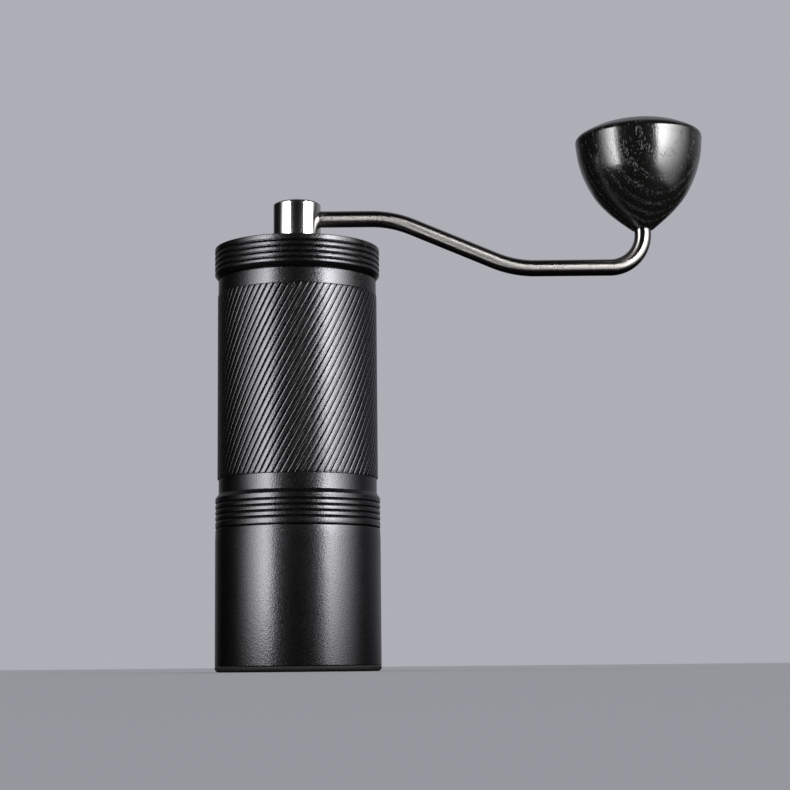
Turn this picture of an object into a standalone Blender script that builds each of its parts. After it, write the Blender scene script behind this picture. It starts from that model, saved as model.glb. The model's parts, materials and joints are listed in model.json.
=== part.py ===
"""Hand crank coffee grinder.

A ribbed and knurled tube stands on a screw-on catch cup. A spindle on two ball bearings carries a
cone burr inside a fixed ring burr. A lid with a crank closes the top, and the knob turns on the crank.

The grinder stands on z = 0 with the spindle along Z, and the crank points along +X.
Lengths below are millimetres and angles are degrees. The helpers turn them into metres and radians.
"""

from math import ceil, cos, pi, radians, sin, tan

import bmesh
import bpy
from mathutils import Vector

MM = 0.001

# Outer casing, from the bottom up
BASE_RADIUS = 26.5
PAD_HEIGHT = 1.45
CUP_TOP = 45.2
BODY_BOTTOM = 45.5
RING_TOP = 54.95
GRIP_BOTTOM = 61.2
GRIP_TOP = 121.1
LID_BOTTOM = 126.3
LID_TOP = 136.5
RING_RADIUS = 26.45
LID_RADIUS = 26.75
BAND_RADIUS = 25.4
UPPER_BAND_RADIUS = 25.6
GRIP_RADIUS = 25.8
RIB_PITCH = 1.83
RIB_GROOVE_DEPTH = 0.45
RIB_GROOVE_WIDTH = 0.85
LOWER_RIB_FIRST = 47.8
UPPER_RIB_FIRST = 129.1
GROOVES_PER_RING = 4

# Cup thread and body bores
CUP_BORE = 22.3
CUP_FLOOR = 4.2
NECK_RADIUS = 23.6
NECK_TOP = 52.5
THREAD_BORE = 24.4
BODY_BORE = 23.3
LID_NECK_RADIUS = 24.6
LID_NECK_TOP = 132.4
LEDGE_BORE = 19.3
LOWER_LEDGE = (84.0, 89.0)
UPPER_LEDGE = (96.0, 99.0)
SNAP_GROOVE = (106.5, 107.9)

# Spindle and bearings (6 x 15 x 5 ball bearings)
SPINDLE_RADIUS = 3.0
SPINDLE_BOTTOM = 47.0
SPINDLE_TOP = 133.2
HEX_BOTTOM = 117.5
HEX_CORNER = 3.3
HEX_CLEARANCE = 0.4
BEARING_RADIUS = 7.5
BEARING_WIDTH = 5.0
BEARING_SEAT = 7.8
BALL_RADIUS = 0.9
BALL_PITCH_RADIUS = 5.3
BALLS = 7
UPPER_BEARING_BOTTOM = 100.3
LOWER_BEARING_BOTTOM = 77.8

# Burrs and the grind adjustment under them
BURR_BOTTOM = 58.6
BURR_TOP = 72.7
BURR_RADIUS = 18.5
CONE_BOTTOM = 57.9
CONE_TOP = 73.4
BURR_TEETH = 9
FINE_TEETH = 27
BURR_SEGMENTS = 54
BURR_TWIST = 38.0
DIAL_RADIUS = 12.3
DIAL_BOTTOM = 48.2
DIAL_TOP = 54.2
DETENT_RADIUS = 8.0
DETENTS = 12
SCREW_CIRCLE = 20.9
SCREW_ANGLES = (30.0, 150.0, 270.0)

# Crank and knob
HUB_RADIUS = 7.75
HUB_BOTTOM = 136.8
HUB_TOP = 152.1
STUB_RADIUS = 5.0
STUB_BOTTOM = 126.5
ROD_RADIUS = 2.69
ARM_HIGH = 146.8
ARM_LOW = 129.85
ARM_FIRST_BEND = 31.2
ARM_SECOND_BEND = 70.9
ARM_EASY_BEND_RADIUS = 34.0
ARM_END_BEND_RADIUS = 11.0
KNOB_TIP = (113.2, 142.3)
KNOB_TILT = 1.3
KNOB_HEIGHT = 36.7
JOURNAL_RADIUS = 1.9
JOURNAL_TOP = 30.0

SHELL_STEPS = 36
SMALL_STEPS = 20


# ---------------------------------------------------------------- helpers


def clear_scene():
    for obj in list(bpy.data.objects):
        bpy.data.objects.remove(obj, do_unlink=True)


def new_collection(name):
    collection = bpy.data.collections.new(name)
    bpy.context.scene.collection.children.link(collection)
    return collection


def new_material(name, color, metallic, roughness):
    material = bpy.data.materials.new(name)
    material.use_nodes = True
    material.diffuse_color = (*color, 1.0)
    shader = material.node_tree.nodes["Principled BSDF"]
    shader.inputs["Base Color"].default_value = (*color, 1.0)
    shader.inputs["Metallic"].default_value = metallic
    shader.inputs["Roughness"].default_value = roughness
    return material


def add_body(name, parent=None, place=(0.0, 0.0, 0.0), lean=0.0):
    """An empty on the axis of a moving body's joint, in millimetres and in world directions."""
    body = bpy.data.objects.new(name, None)
    body.empty_display_size = 0.01
    body.location = Vector(place) * MM
    body.rotation_euler.y = radians(lean)
    body.parent = parent
    PARTS.objects.link(body)
    return body


def add_node(name, data, body, material):
    """A part of the object, which moves with its body."""
    node = bpy.data.objects.new(name, data)
    node.parent = body
    data.materials.append(material)
    PARTS.objects.link(node)
    return node


def add_helper(name, data, body):
    """A cutter, or a solid that a Boolean joins to a part."""
    helper = bpy.data.objects.new(name, data)
    helper.parent = body
    helper.hide_render = True
    helper.display_type = "WIRE"
    CUTTERS.objects.link(helper)
    return helper


def combine(node, helper, operation):
    modifier = node.modifiers.new(f"{operation.lower()} {helper.name}", "BOOLEAN")
    modifier.operation = operation
    modifier.solver = "EXACT"
    modifier.object = helper


def profile_mesh(name, profile, closed):
    mesh = bpy.data.meshes.new(name)
    points = [(radius * MM, 0.0, height * MM) for radius, height in profile]
    edges = [(i, i + 1) for i in range(len(points) - 1)]
    if closed:
        edges.append((len(points) - 1, 0))
    mesh.from_pydata(points, edges, [])
    return mesh


def turn(obj, steps):
    screw = obj.modifiers.new("turn", "SCREW")
    screw.axis = "Z"
    screw.steps = steps
    screw.render_steps = steps
    screw.use_merge_vertices = True
    screw.merge_threshold = 0.00001
    return obj


def turned(name, profile, body, material, steps=SMALL_STEPS):
    """A turned part. Its profile of (radius, height) runs down its outer side and up its bore, or,
    where it starts and ends on the axis, from the top of the axis to the bottom."""
    closed = profile[0][0] > 0
    return turn(add_node(name, profile_mesh(name, profile, closed), body, material), steps)


def turned_helper(name, profile, body, steps):
    return turn(add_helper(name, profile_mesh(name, profile, True), body), steps)


def tube(outer, inner, bottom, top):
    return [(outer, top), (outer, bottom), (inner, bottom), (inner, top)]


def prism_mesh(name, radius, bottom, top, sides, centres=((0.0, 0.0),), tip_radius=None):
    """Upright cylinders, or cones where tip_radius is the lower end's, one at each centre."""
    bm = bmesh.new()
    for x, y in centres:
        made = bmesh.ops.create_cone(
            bm,
            cap_ends=True,
            segments=sides,
            radius1=(radius if tip_radius is None else tip_radius) * MM,
            radius2=radius * MM,
            depth=(top - bottom) * MM,
        )
        bmesh.ops.translate(bm, verts=made["verts"], vec=Vector((x, y, (top + bottom) / 2)) * MM)
    mesh = bpy.data.meshes.new(name)
    bm.to_mesh(mesh)
    bm.free()
    return mesh


def box_mesh(name, low, high, turn_by=0.0):
    """A box from its low corner to its high one, then turned about Z by turn_by degrees."""
    size = [b - a for a, b in zip(low, high)]
    bm = bmesh.new()
    bmesh.ops.create_cube(bm, size=1.0)
    bmesh.ops.scale(bm, verts=bm.verts, vec=Vector(size) * MM)
    centre = [(a + b) / 2 for a, b in zip(low, high)]
    bmesh.ops.translate(bm, verts=bm.verts, vec=Vector(centre) * MM)
    spin = Vector((cos(radians(turn_by)), sin(radians(turn_by)), 0.0))
    for vert in bm.verts:
        x, y = vert.co.x, vert.co.y
        vert.co.x = x * spin.x - y * spin.y
        vert.co.y = x * spin.y + y * spin.x
    mesh = bpy.data.meshes.new(name)
    bm.to_mesh(mesh)
    bm.free()
    return mesh


def balls_mesh(name, radius, centres):
    bm = bmesh.new()
    for centre in centres:
        made = bmesh.ops.create_uvsphere(bm, u_segments=6, v_segments=4, radius=radius * MM)
        bmesh.ops.translate(bm, verts=made["verts"], vec=Vector(centre) * MM)
    mesh = bpy.data.meshes.new(name)
    bm.to_mesh(mesh)
    bm.free()
    return mesh


def lofted(name, rings, segments, body, material):
    """A ring-shaped solid through closed loops of points. Each loop is (height, radius of an angle),
    and the loops run down the outside and back up the bore."""
    bm = bmesh.new()
    loops = []
    for height, radius in rings:
        angles = [2 * pi * i / segments for i in range(segments)]
        sizes = [(radius(a) if callable(radius) else radius, a) for a in angles]
        loops.append([bm.verts.new(Vector((r * cos(a), r * sin(a), height)) * MM) for r, a in sizes])
    for upper, lower in zip(loops, loops[1:] + loops[:1]):
        for i in range(segments):
            j = (i + 1) % segments
            bm.faces.new((upper[i], lower[i], lower[j], upper[j]))
    bmesh.ops.triangulate(bm, faces=bm.faces)
    bmesh.ops.recalc_face_normals(bm, faces=bm.faces)
    mesh = bpy.data.meshes.new(name)
    bm.to_mesh(mesh)
    bm.free()
    return add_node(name, mesh, body, material)


def wire(name, points, radius, body, material, bevel_resolution, thinning=None):
    """A round wire or rod along a list of points. thinning gives each point's share of the radius."""
    curve = bpy.data.curves.new(name, "CURVE")
    curve.dimensions = "3D"
    curve.bevel_depth = radius * MM
    curve.bevel_resolution = bevel_resolution
    curve.use_fill_caps = True
    spline = curve.splines.new("POLY")
    spline.points.add(len(points) - 1)
    for i, point in enumerate(points):
        spline.points[i].co = (*(Vector(point) * MM), 1.0)
        spline.points[i].radius = thinning[i] if thinning else 1.0
    spline.use_smooth = True
    return add_node(name, curve, body, material)


def coil(name, radius, wire_radius, bottom, top, turns, per_turn, body, material, sides=1, x=0.0, y=0.0):
    """A compression spring between two heights, measured over its wire."""
    count = ceil(turns * per_turn) + 1
    low, high = bottom + wire_radius, top - wire_radius
    points = []
    for i in range(count):
        share = i / (count - 1)
        angle = 2 * pi * turns * share
        points.append((x + radius * cos(angle), y + radius * sin(angle), low + (high - low) * share))
    return wire(name, points, wire_radius, body, material, sides)


def split_ring(name, outer, inner, bottom, top, gap, body, material, arc_points=20):
    """A flat ring with a gap, given in degrees, towards +X."""
    curve = bpy.data.curves.new(name, "CURVE")
    curve.dimensions = "2D"
    curve.fill_mode = "BOTH"
    curve.extrude = (top - bottom) / 2 * MM
    span = 360.0 - gap
    angles = [radians(gap / 2 + span * i / (arc_points - 1)) for i in range(arc_points)]
    outline = [(outer * cos(a), outer * sin(a)) for a in angles]
    outline += [(inner * cos(a), inner * sin(a)) for a in reversed(angles)]
    spline = curve.splines.new("POLY")
    spline.points.add(len(outline) - 1)
    for point, (x, y) in zip(spline.points, outline):
        point.co = (x * MM, y * MM, 0.0, 1.0)
    spline.use_cyclic_u = True
    node = add_node(name, curve, body, material)
    node.location.z = (top + bottom) / 2 * MM
    return node


def on_circle(radius, angles):
    return [(radius * cos(radians(a)), radius * sin(radians(a))) for a in angles]


def rib_grooves(first, radius):
    """Profile points of a ring's V-grooves, from the top down."""
    points = []
    for i in reversed(range(GROOVES_PER_RING)):
        height = first + i * RIB_PITCH
        points.append((radius, height + RIB_GROOVE_WIDTH / 2))
        points.append((radius - RIB_GROOVE_DEPTH, height))
        points.append((radius, height - RIB_GROOVE_WIDTH / 2))
    return points


def smooth_line(points, steps):
    """A Catmull-Rom curve through the points, ends included."""
    ends = [points[0], *points, points[-1]]
    line = []
    for a, b, c, d in zip(ends, ends[1:], ends[2:], ends[3:]):
        for i in range(steps):
            t = i / steps
            line.append(
                tuple(
                    0.5
                    * (2 * q + (r - p) * t + (2 * p - 5 * q + 4 * r - s) * t**2 + (3 * q - p - 3 * r + s) * t**3)
                    for p, q, r, s in zip(a, b, c, d)
                )
            )
    return [*line, points[-1]]


def rounded_route(corners, radii, step_angle):
    """A path in the XZ plane through corners, each inner one rounded by an arc of its radius."""
    route = [Vector(corners[0])]
    for before, corner, after, radius in zip(corners, corners[1:], corners[2:], radii):
        corner = Vector(corner)
        into = (corner - Vector(before)).normalized()
        out = (Vector(after) - corner).normalized()
        bend = into.angle(out)
        setback = radius * tan(bend / 2)
        start = corner - into * setback
        inward = (out - into * into.dot(out)).normalized()
        centre = start + inward * radius
        steps = max(2, ceil(bend / radians(step_angle)))
        for i in range(steps + 1):
            angle = bend * i / steps
            route.append(centre + into * radius * sin(angle) - inward * radius * cos(angle))
    route.append(Vector(corners[-1]))
    return [(point.x, 0.0, point.y) for point in route]


# ---------------------------------------------------------------- catch cup


def make_catch_cup(body):
    outer = BASE_RADIUS
    pad = [(0.0, PAD_HEIGHT), (outer, PAD_HEIGHT), (outer, 0.9), (outer - 0.4, 0.25), (outer - 1.2, 0.0), (0.0, 0.0)]
    turned("base_pad", pad, body, RUBBER, SHELL_STEPS)
    cup = [
        (0.0, CUP_FLOOR),
        (CUP_BORE - 2.5, CUP_FLOOR),
        (CUP_BORE, CUP_FLOOR + 2.5),
        (CUP_BORE, NECK_TOP),
        (NECK_RADIUS - 0.4, NECK_TOP),
        (NECK_RADIUS, NECK_TOP - 0.4),
        (NECK_RADIUS, CUP_TOP),
        (outer - 0.4, CUP_TOP),
        (outer - 0.1, CUP_TOP - 0.3),
        (outer, PAD_HEIGHT + 0.6),
        (outer - 0.3, PAD_HEIGHT + 0.3),
        (0.0, PAD_HEIGHT + 0.3),
    ]
    turned("catch_cup", cup, body, BLACK_METAL, SHELL_STEPS)


def make_cup_seal(body):
    """The O-ring in the mouth of the body, which lifts with the body and doesn't turn."""
    ring, section, sides = 24.95, 0.6, 6
    height = BODY_BOTTOM + 0.75
    angles = [pi / 2 - 2 * pi * i / sides for i in range(sides)]
    profile = [(ring + section * cos(a), height + section * sin(a)) for a in angles]
    turned("cup_seal", profile, body, SILICONE, SHELL_STEPS)


# ---------------------------------------------------------------- body tube


def make_grip_body(body):
    seal_bore = 25.9
    outside = [
        (BODY_BORE, LID_NECK_TOP),
        (LID_NECK_RADIUS, LID_NECK_TOP),
        (LID_NECK_RADIUS, LID_BOTTOM - 0.3),
        (UPPER_BAND_RADIUS, LID_BOTTOM - 0.3),
        (UPPER_BAND_RADIUS, GRIP_TOP + 0.2),
        (GRIP_RADIUS, GRIP_TOP - 0.3),
        (GRIP_RADIUS, GRIP_BOTTOM + 0.3),
        (BAND_RADIUS, GRIP_BOTTOM - 0.2),
        (BAND_RADIUS, RING_TOP + 1.45),
        (RING_RADIUS, RING_TOP),
        *rib_grooves(LOWER_RIB_FIRST, RING_RADIUS),
        (RING_RADIUS, BODY_BOTTOM),
    ]
    bores = [
        (seal_bore, BODY_BOTTOM),
        (seal_bore, BODY_BOTTOM + 1.7),
        (THREAD_BORE, BODY_BOTTOM + 1.7),
        (THREAD_BORE, 55.6),
        (BODY_BORE, 56.4),
        (BODY_BORE, LOWER_LEDGE[0]),
        (LEDGE_BORE, LOWER_LEDGE[0]),
        (LEDGE_BORE, LOWER_LEDGE[1] - 2.0),
        (BODY_BORE, LOWER_LEDGE[1] + 2.0),
        (BODY_BORE, UPPER_LEDGE[0] - 1.5),
        (BODY_BORE - 1.5, UPPER_LEDGE[0]),
        (BODY_BORE - 1.5, UPPER_LEDGE[1]),
        (BODY_BORE, UPPER_LEDGE[1]),
        (BODY_BORE, SNAP_GROOVE[0]),
        (BODY_BORE + 1.0, SNAP_GROOVE[0]),
        (BODY_BORE + 1.0, SNAP_GROOVE[1]),
        (BODY_BORE, SNAP_GROOVE[1]),
    ]
    grip = turned("grip_body", outside + bores, body, BLACK_METAL, SHELL_STEPS)
    centres = on_circle(SCREW_CIRCLE, SCREW_ANGLES)
    holes = add_helper("ledge_holes", prism_mesh("ledge_holes", 1.4, 83.0, 88.2, 8, centres), body)
    combine(grip, holes, "DIFFERENCE")


def spider(name, rim, seat, arm_low, arm_high, arm_reach, body):
    """A rim that carries a bearing seat on three arms, between which the beans fall."""
    node = turned(name, rim, body, MACHINED_METAL, SHELL_STEPS)
    hub = turned_helper(f"{name}_hub", seat, body, SMALL_STEPS + 4)
    combine(node, hub, "UNION")
    for i, angle in enumerate((90.0, 210.0, 330.0)):
        mesh = box_mesh(f"{name}_arm_{i}", (9.2, -1.7, arm_low), (arm_reach, 1.7, arm_high), angle)
        combine(node, add_helper(mesh.name, mesh, body), "UNION")
    return node


def seat_profile(bearing_bottom):
    """A bearing seat, open at its top, with a lip that the bearing rests on."""
    lip = bearing_bottom - 0.3
    return [
        (10.2, bearing_bottom + BEARING_WIDTH + 0.6),
        (10.2, lip - 1.0),
        (6.6, lip - 1.0),
        (6.6, lip),
        (BEARING_SEAT, lip),
        (BEARING_SEAT, bearing_bottom + BEARING_WIDTH + 0.6),
    ]


def make_upper_bridge(body):
    bottom = UPPER_LEDGE[1] + 0.3
    rim = tube(BODY_BORE - 0.4, BODY_BORE - 2.6, bottom, SNAP_GROOVE[0] - 0.2)
    seat = seat_profile(UPPER_BEARING_BOTTOM)
    spider("upper_bearing_bridge", rim, seat, bottom + 0.4, bottom + 6.0, BODY_BORE - 1.5, body)
    low, high = SNAP_GROOVE[0] + 0.2, SNAP_GROOVE[1] - 0.2
    split_ring("bridge_snap_ring", BODY_BORE + 0.6, BODY_BORE - 1.6, low, high, 34.0, body, SPRING_STEEL)


def make_burr_carrier(body):
    outer = BODY_BORE - 0.4
    top = LOWER_LEDGE[0] - 0.3
    rim = [
        (outer, top),
        (outer, BURR_BOTTOM),
        (BURR_RADIUS + 0.3, BURR_BOTTOM),
        (BURR_RADIUS + 0.3, BURR_TOP + 0.3),
        (BURR_RADIUS - 0.7, BURR_TOP + 0.3),
        (BURR_RADIUS - 0.7, top),
    ]
    seat = seat_profile(LOWER_BEARING_BOTTOM)
    carrier = spider("burr_carrier", rim, seat, 77.4, 83.0, outer - 3.5, body)
    centres = on_circle(SCREW_CIRCLE, SCREW_ANGLES)
    holes = prism_mesh("carrier_holes", 1.4, BURR_BOTTOM - 1.0, top + 1.0, 8, centres)
    combine(carrier, add_helper("carrier_holes", holes, body), "DIFFERENCE")
    head_top = BURR_BOTTOM - 0.3
    head = [(2.1, head_top), (2.1, head_top - 1.8), (0.0, head_top - 1.8)]
    shank = [(0.0, 87.8), (1.1, 87.8), (1.1, head_top)]
    for i, (x, y) in enumerate(centres, 1):
        screw = turned(f"carrier_screw_{i}", shank + head, body, SPRING_STEEL, 10)
        screw.location = (x * MM, y * MM, 0.0)


def make_bearing(prefix, bottom, fixed_body, turning_body, cage_body):
    top = bottom + BEARING_WIDTH
    middle = bottom + BEARING_WIDTH / 2
    turned(f"{prefix}_bearing_outer_ring", tube(BEARING_RADIUS, 6.4, bottom, top), fixed_body, BEARING_STEEL)
    turned(f"{prefix}_bearing_inner_ring", tube(4.2, 3.3, bottom, top), turning_body, BEARING_STEEL)
    for side, low in (("bottom", bottom + 0.2), ("top", top - 0.5)):
        shield = tube(6.1, 4.5, low, low + 0.3)
        turned(f"{prefix}_bearing_shield_{side}", shield, fixed_body, SPRING_STEEL)
    width = 0.3
    cage = tube(BALL_PITCH_RADIUS + 0.2, BALL_PITCH_RADIUS - 0.2, middle - width, middle + width)
    node = turned(f"{prefix}_bearing_balls", cage, cage_body, BEARING_STEEL, 21)
    places = on_circle(BALL_PITCH_RADIUS, [360.0 * i / BALLS for i in range(BALLS)])
    balls = balls_mesh(f"{prefix}_balls", BALL_RADIUS, [(x, y, middle) for x, y in places])
    combine(node, add_helper(f"{prefix}_balls", balls, cage_body), "UNION")


# ---------------------------------------------------------------- burrs


def saw(value):
    """A saw tooth between 0 and 1."""
    return value % 1.0


def burr_edge(radius, height, coarse, fine, hand):
    """The radius of a helical toothed section as a function of the angle. Teeth are cut by coarse
    and fine millimetres, away from the other burr, so hand is -1 on the cone and +1 on the ring."""
    turned_by = radians(BURR_TWIST) * (height - CONE_BOTTOM) / (CONE_TOP - CONE_BOTTOM)

    def at(angle):
        around = (angle + turned_by) / (2 * pi)
        return radius + hand * (coarse * saw(around * BURR_TEETH) + fine * saw(around * FINE_TEETH))

    return at


def make_ring_burr(body):
    inside = [
        (BURR_BOTTOM, burr_edge(16.75, BURR_BOTTOM, 0.0, 0.3, 1)),
        (60.6, burr_edge(15.85, 60.6, 0.0, 0.5, 1)),
        (63.2, burr_edge(14.9, 63.2, 0.5, 0.3, 1)),
        (67.5, burr_edge(15.2, 67.5, 1.1, 0.0, 1)),
        (BURR_TOP, burr_edge(16.2, BURR_TOP, 1.3, 0.0, 1)),
    ]
    outside = [(BURR_TOP, BURR_RADIUS), (BURR_BOTTOM, BURR_RADIUS)]
    lofted("ring_burr", outside + inside, BURR_SEGMENTS, body, BURR_STEEL)


def keyed_bore(angle):
    """A round bore with two flats, which fits the flats of the spindle."""
    return min(3.35, 2.75 / max(abs(cos(angle)), 0.01))


def make_cone_burr(body):
    outside = [
        (CONE_TOP, burr_edge(7.4, CONE_TOP, 0.4, 0.0, -1)),
        (70.0, burr_edge(9.9, 70.0, 1.2, 0.0, -1)),
        (66.0, burr_edge(12.6, 66.0, 1.2, 0.0, -1)),
        (62.6, burr_edge(14.5, 62.6, 0.7, 0.3, -1)),
        (60.4, burr_edge(15.5, 60.4, 0.0, 0.5, -1)),
        (BURR_BOTTOM, burr_edge(16.35, BURR_BOTTOM, 0.0, 0.3, -1)),
        (CONE_BOTTOM, 16.0),
    ]
    bore = [(CONE_BOTTOM, keyed_bore), (64.2, keyed_bore), (64.3, 5.3), (CONE_TOP, 5.3)]
    lofted("cone_burr", outside + bore, BURR_SEGMENTS, body, BURR_STEEL)


# ---------------------------------------------------------------- spindle and grind adjustment


def make_spindle(body):
    clip_groove = UPPER_BEARING_BOTTOM + BEARING_WIDTH + 0.9
    profile = [
        (0.0, HEX_BOTTOM + 1.0),
        (SPINDLE_RADIUS, HEX_BOTTOM + 1.0),
        (SPINDLE_RADIUS, clip_groove + 0.5),
        (SPINDLE_RADIUS - 0.5, clip_groove + 0.5),
        (SPINDLE_RADIUS - 0.5, clip_groove - 0.6),
        (SPINDLE_RADIUS, clip_groove - 0.6),
        (SPINDLE_RADIUS, SPINDLE_BOTTOM),
        (1.5, SPINDLE_BOTTOM),
        (1.5, 52.6),
        (0.0, 52.6),
    ]
    spindle = turned("spindle", profile, body, SPRING_STEEL)
    hexagon = prism_mesh("spindle_hexagon", HEX_CORNER, HEX_BOTTOM, SPINDLE_TOP, 6)
    combine(spindle, add_helper("spindle_hexagon", hexagon, body), "UNION")
    for side, turn_by in (("a", 0.0), ("b", 180.0)):
        flat = box_mesh(f"spindle_flat_{side}", (2.4, -4.0, 53.2), (5.0, 4.0, 75.4), turn_by)
        combine(spindle, add_helper(flat.name, flat, body), "DIFFERENCE")
    split_ring("spindle_clip", 5.0, 2.75, clip_groove - 0.35, clip_groove + 0.25, 60.0, body, SPRING_STEEL, 14)
    turned("spring_washer", tube(4.9, 3.3, 76.9, 77.5), body, SPRING_STEEL)
    head_top = SPINDLE_BOTTOM - 0.3
    screw = [(0.0, 51.8), (1.2, 51.8), (1.2, head_top), (3.0, head_top), (3.0, head_top - 1.6)]
    screw += [(2.6, head_top - 2.0), (0.0, head_top - 2.0)]
    turned("end_screw", screw, body, SPRING_STEEL, 12)


def make_click_plate(body):
    bottom, top = DIAL_TOP + 0.6, CONE_BOTTOM - 0.3
    rings = [(top, 11.0), (bottom + 0.5, 11.0), (bottom, 10.5), (bottom, keyed_bore), (top, keyed_bore)]
    plate = lofted("click_plate", rings, 32, body, BRASS)
    places = on_circle(DETENT_RADIUS, (0.0, 180.0))
    holes = prism_mesh("click_plate_holes", 1.25, bottom - 1.0, top + 1.0, 10, places)
    combine(plate, add_helper("click_plate_holes", holes, body), "DIFFERENCE")
    for i, (x, y) in enumerate(places, 1):
        ball = balls_mesh(f"detent_ball_{i}", BALL_RADIUS, [(0.0, 0.0, 0.0)])
        add_node(ball.name, ball, body, BEARING_STEEL).location = Vector((x, y, DIAL_TOP + 1.2)) * MM
        low = DIAL_TOP + 2.2
        coil(f"detent_spring_{i}", 0.6, 0.12, low, top - 0.05, 2.5, 8, body, SPRING_STEEL, 0, x, y)


def make_adjuster_dial(body):
    def rim(angle):
        return DIAL_RADIUS - 0.7 * abs(sin(angle * DETENTS / 2)) ** 4

    rings = [(DIAL_TOP, DIAL_RADIUS - 1.0), (DIAL_TOP - 0.6, rim), (DIAL_BOTTOM + 0.6, rim)]
    rings += [(DIAL_BOTTOM, DIAL_RADIUS - 1.0), (DIAL_BOTTOM, 3.4), (DIAL_TOP, 3.4)]
    dial = lofted("adjuster_dial", rings, 4 * DETENTS, body, BRASS)
    places = on_circle(DETENT_RADIUS, [360.0 * i / DETENTS for i in range(DETENTS)])
    dimples = prism_mesh("dial_dimples", 1.2, DIAL_TOP - 0.5, DIAL_TOP + 0.1, 6, places, 0.3)
    combine(dial, add_helper("dial_dimples", dimples, body), "DIFFERENCE")


def make_burr_spring(body):
    coil("burr_spring", 4.3, 0.42, 64.7, 76.5, 5.0, 10, body, SPRING_STEEL)


# ---------------------------------------------------------------- lid


def make_lid(body):
    outer = LID_RADIUS
    skirt_bore = LID_NECK_RADIUS + 0.35
    ceiling = LID_NECK_TOP + 1.2
    cap = [
        (7.0, LID_TOP),
        (outer - 0.4, LID_TOP),
        (outer, LID_TOP - 0.4),
        *rib_grooves(UPPER_RIB_FIRST, outer),
        (outer, LID_BOTTOM + 1.5),
        (UPPER_BAND_RADIUS, LID_BOTTOM),
        (skirt_bore, LID_BOTTOM),
        (skirt_bore, ceiling),
        (10.0, ceiling),
        (10.0, 129.0),
        (7.0, 129.0),
    ]
    turned("lid_cap", cap, body, BLACK_METAL, SHELL_STEPS)
    turned("lid_bush", tube(6.7, STUB_RADIUS + 0.3, 128.7, LID_TOP - 0.3), body, WHITE_PLASTIC)
    turned("lid_seal", tube(24.5, 22.6, LID_NECK_TOP + 0.3, ceiling - 0.3), body, SILICONE, SHELL_STEPS)


# ---------------------------------------------------------------- crank


def make_crank(body):
    profile = [
        (0.0, HUB_TOP),
        (HUB_RADIUS - 0.7, HUB_TOP),
        (HUB_RADIUS, HUB_TOP - 0.6),
        (HUB_RADIUS, HUB_BOTTOM),
        (STUB_RADIUS, HUB_BOTTOM),
        (STUB_RADIUS, 128.5),
        (STUB_RADIUS - 0.6, 128.5),
        (STUB_RADIUS - 0.6, 127.4),
        (STUB_RADIUS, 127.4),
        (STUB_RADIUS, STUB_BOTTOM),
        (0.0, STUB_BOTTOM),
    ]
    hub = turned("crank_hub", profile, body, BRIGHT_STEEL, 28)
    socket = prism_mesh("hub_socket", HEX_CORNER + HEX_CLEARANCE, STUB_BOTTOM - 1.0, SPINDLE_TOP + 0.8, 6)
    combine(hub, add_helper("hub_socket", socket, body), "DIFFERENCE")
    bore = add_helper("hub_arm_bore", prism_mesh("hub_arm_bore", ROD_RADIUS + 0.3, -3.6, 12.0, 16), body)
    bore.rotation_euler.y = pi / 2
    bore.location.z = ARM_HIGH * MM
    combine(hub, bore, "DIFFERENCE")
    tapped = prism_mesh("hub_screw_hole", 2.0, ARM_HIGH, HUB_TOP + 1.0, 12)
    combine(hub, add_helper("hub_screw_hole", tapped, body), "DIFFERENCE")
    split_ring("hub_clip", 6.6, STUB_RADIUS - 0.35, 127.6, 128.3, 60.0, body, SPRING_STEEL, 14)
    grub = [(0.0, 150.7), (0.8, 150.7), (0.8, 151.7), (1.7, 151.7), (1.7, 150.2), (0.0, 150.2)]
    turned("arm_grub_screw", grub, body, SPRING_STEEL, 12)
    make_arm(body)


def along_knob(height):
    """The point on the knob's axis at this height above the knob's tip, as (x, z)."""
    x, z = KNOB_TIP
    return (x - height * sin(radians(KNOB_TILT)), z + height * cos(radians(KNOB_TILT)))


def make_arm(body):
    corner = along_knob((ARM_LOW - KNOB_TIP[1]) / cos(radians(KNOB_TILT)))
    shoulder = along_knob(1.5)
    corners = [(-3.2, ARM_HIGH), (ARM_FIRST_BEND, ARM_HIGH), (ARM_SECOND_BEND, ARM_LOW), corner, shoulder]
    radii = (ARM_EASY_BEND_RADIUS, ARM_EASY_BEND_RADIUS, ARM_END_BEND_RADIUS)
    route = rounded_route(corners, radii, 7.0)
    journal = [
        (1.52, JOURNAL_RADIUS),
        (28.76, JOURNAL_RADIUS),
        (28.78, JOURNAL_RADIUS - 0.4),
        (29.62, JOURNAL_RADIUS - 0.4),
        (29.64, JOURNAL_RADIUS),
        (JOURNAL_TOP, JOURNAL_RADIUS),
    ]
    for height, radius in journal:
        x, z = along_knob(height)
        route.append((x, 0.0, z))
    thinning = [1.0] * (len(route) - len(journal)) + [radius / ROD_RADIUS for _, radius in journal]
    wire("crank_arm", route, ROD_RADIUS, body, DARK_STEEL, 3, thinning)


def make_knob(body):
    """The knob in its own frame, with the tip at the origin and its axis along Z."""
    outline = [
        (0.0, KNOB_HEIGHT),
        (8.5, 35.85),
        (15.4, 33.8),
        (18.8, 32.2),
        (20.55, 30.6),
        (20.65, 28.6),
        (19.75, 22.5),
        (16.7, 14.3),
        (11.0, 6.4),
        (3.4, 0.0),
    ]
    bore = [(3.0, 0.0), (3.0, JOURNAL_TOP + 1.2), (0.0, JOURNAL_TOP + 1.2)]
    turned("knob", smooth_line(outline, 2) + bore, body, BLACK_WOOD, 26)
    turned("knob_bush", tube(2.7, 2.15, 2.0, 28.6), body, BRASS, 14)
    split_ring("knob_clip", 2.65, 1.75, 28.95, 29.45, 60.0, body, SPRING_STEEL, 12)


# ---------------------------------------------------------------- assembly


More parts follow.
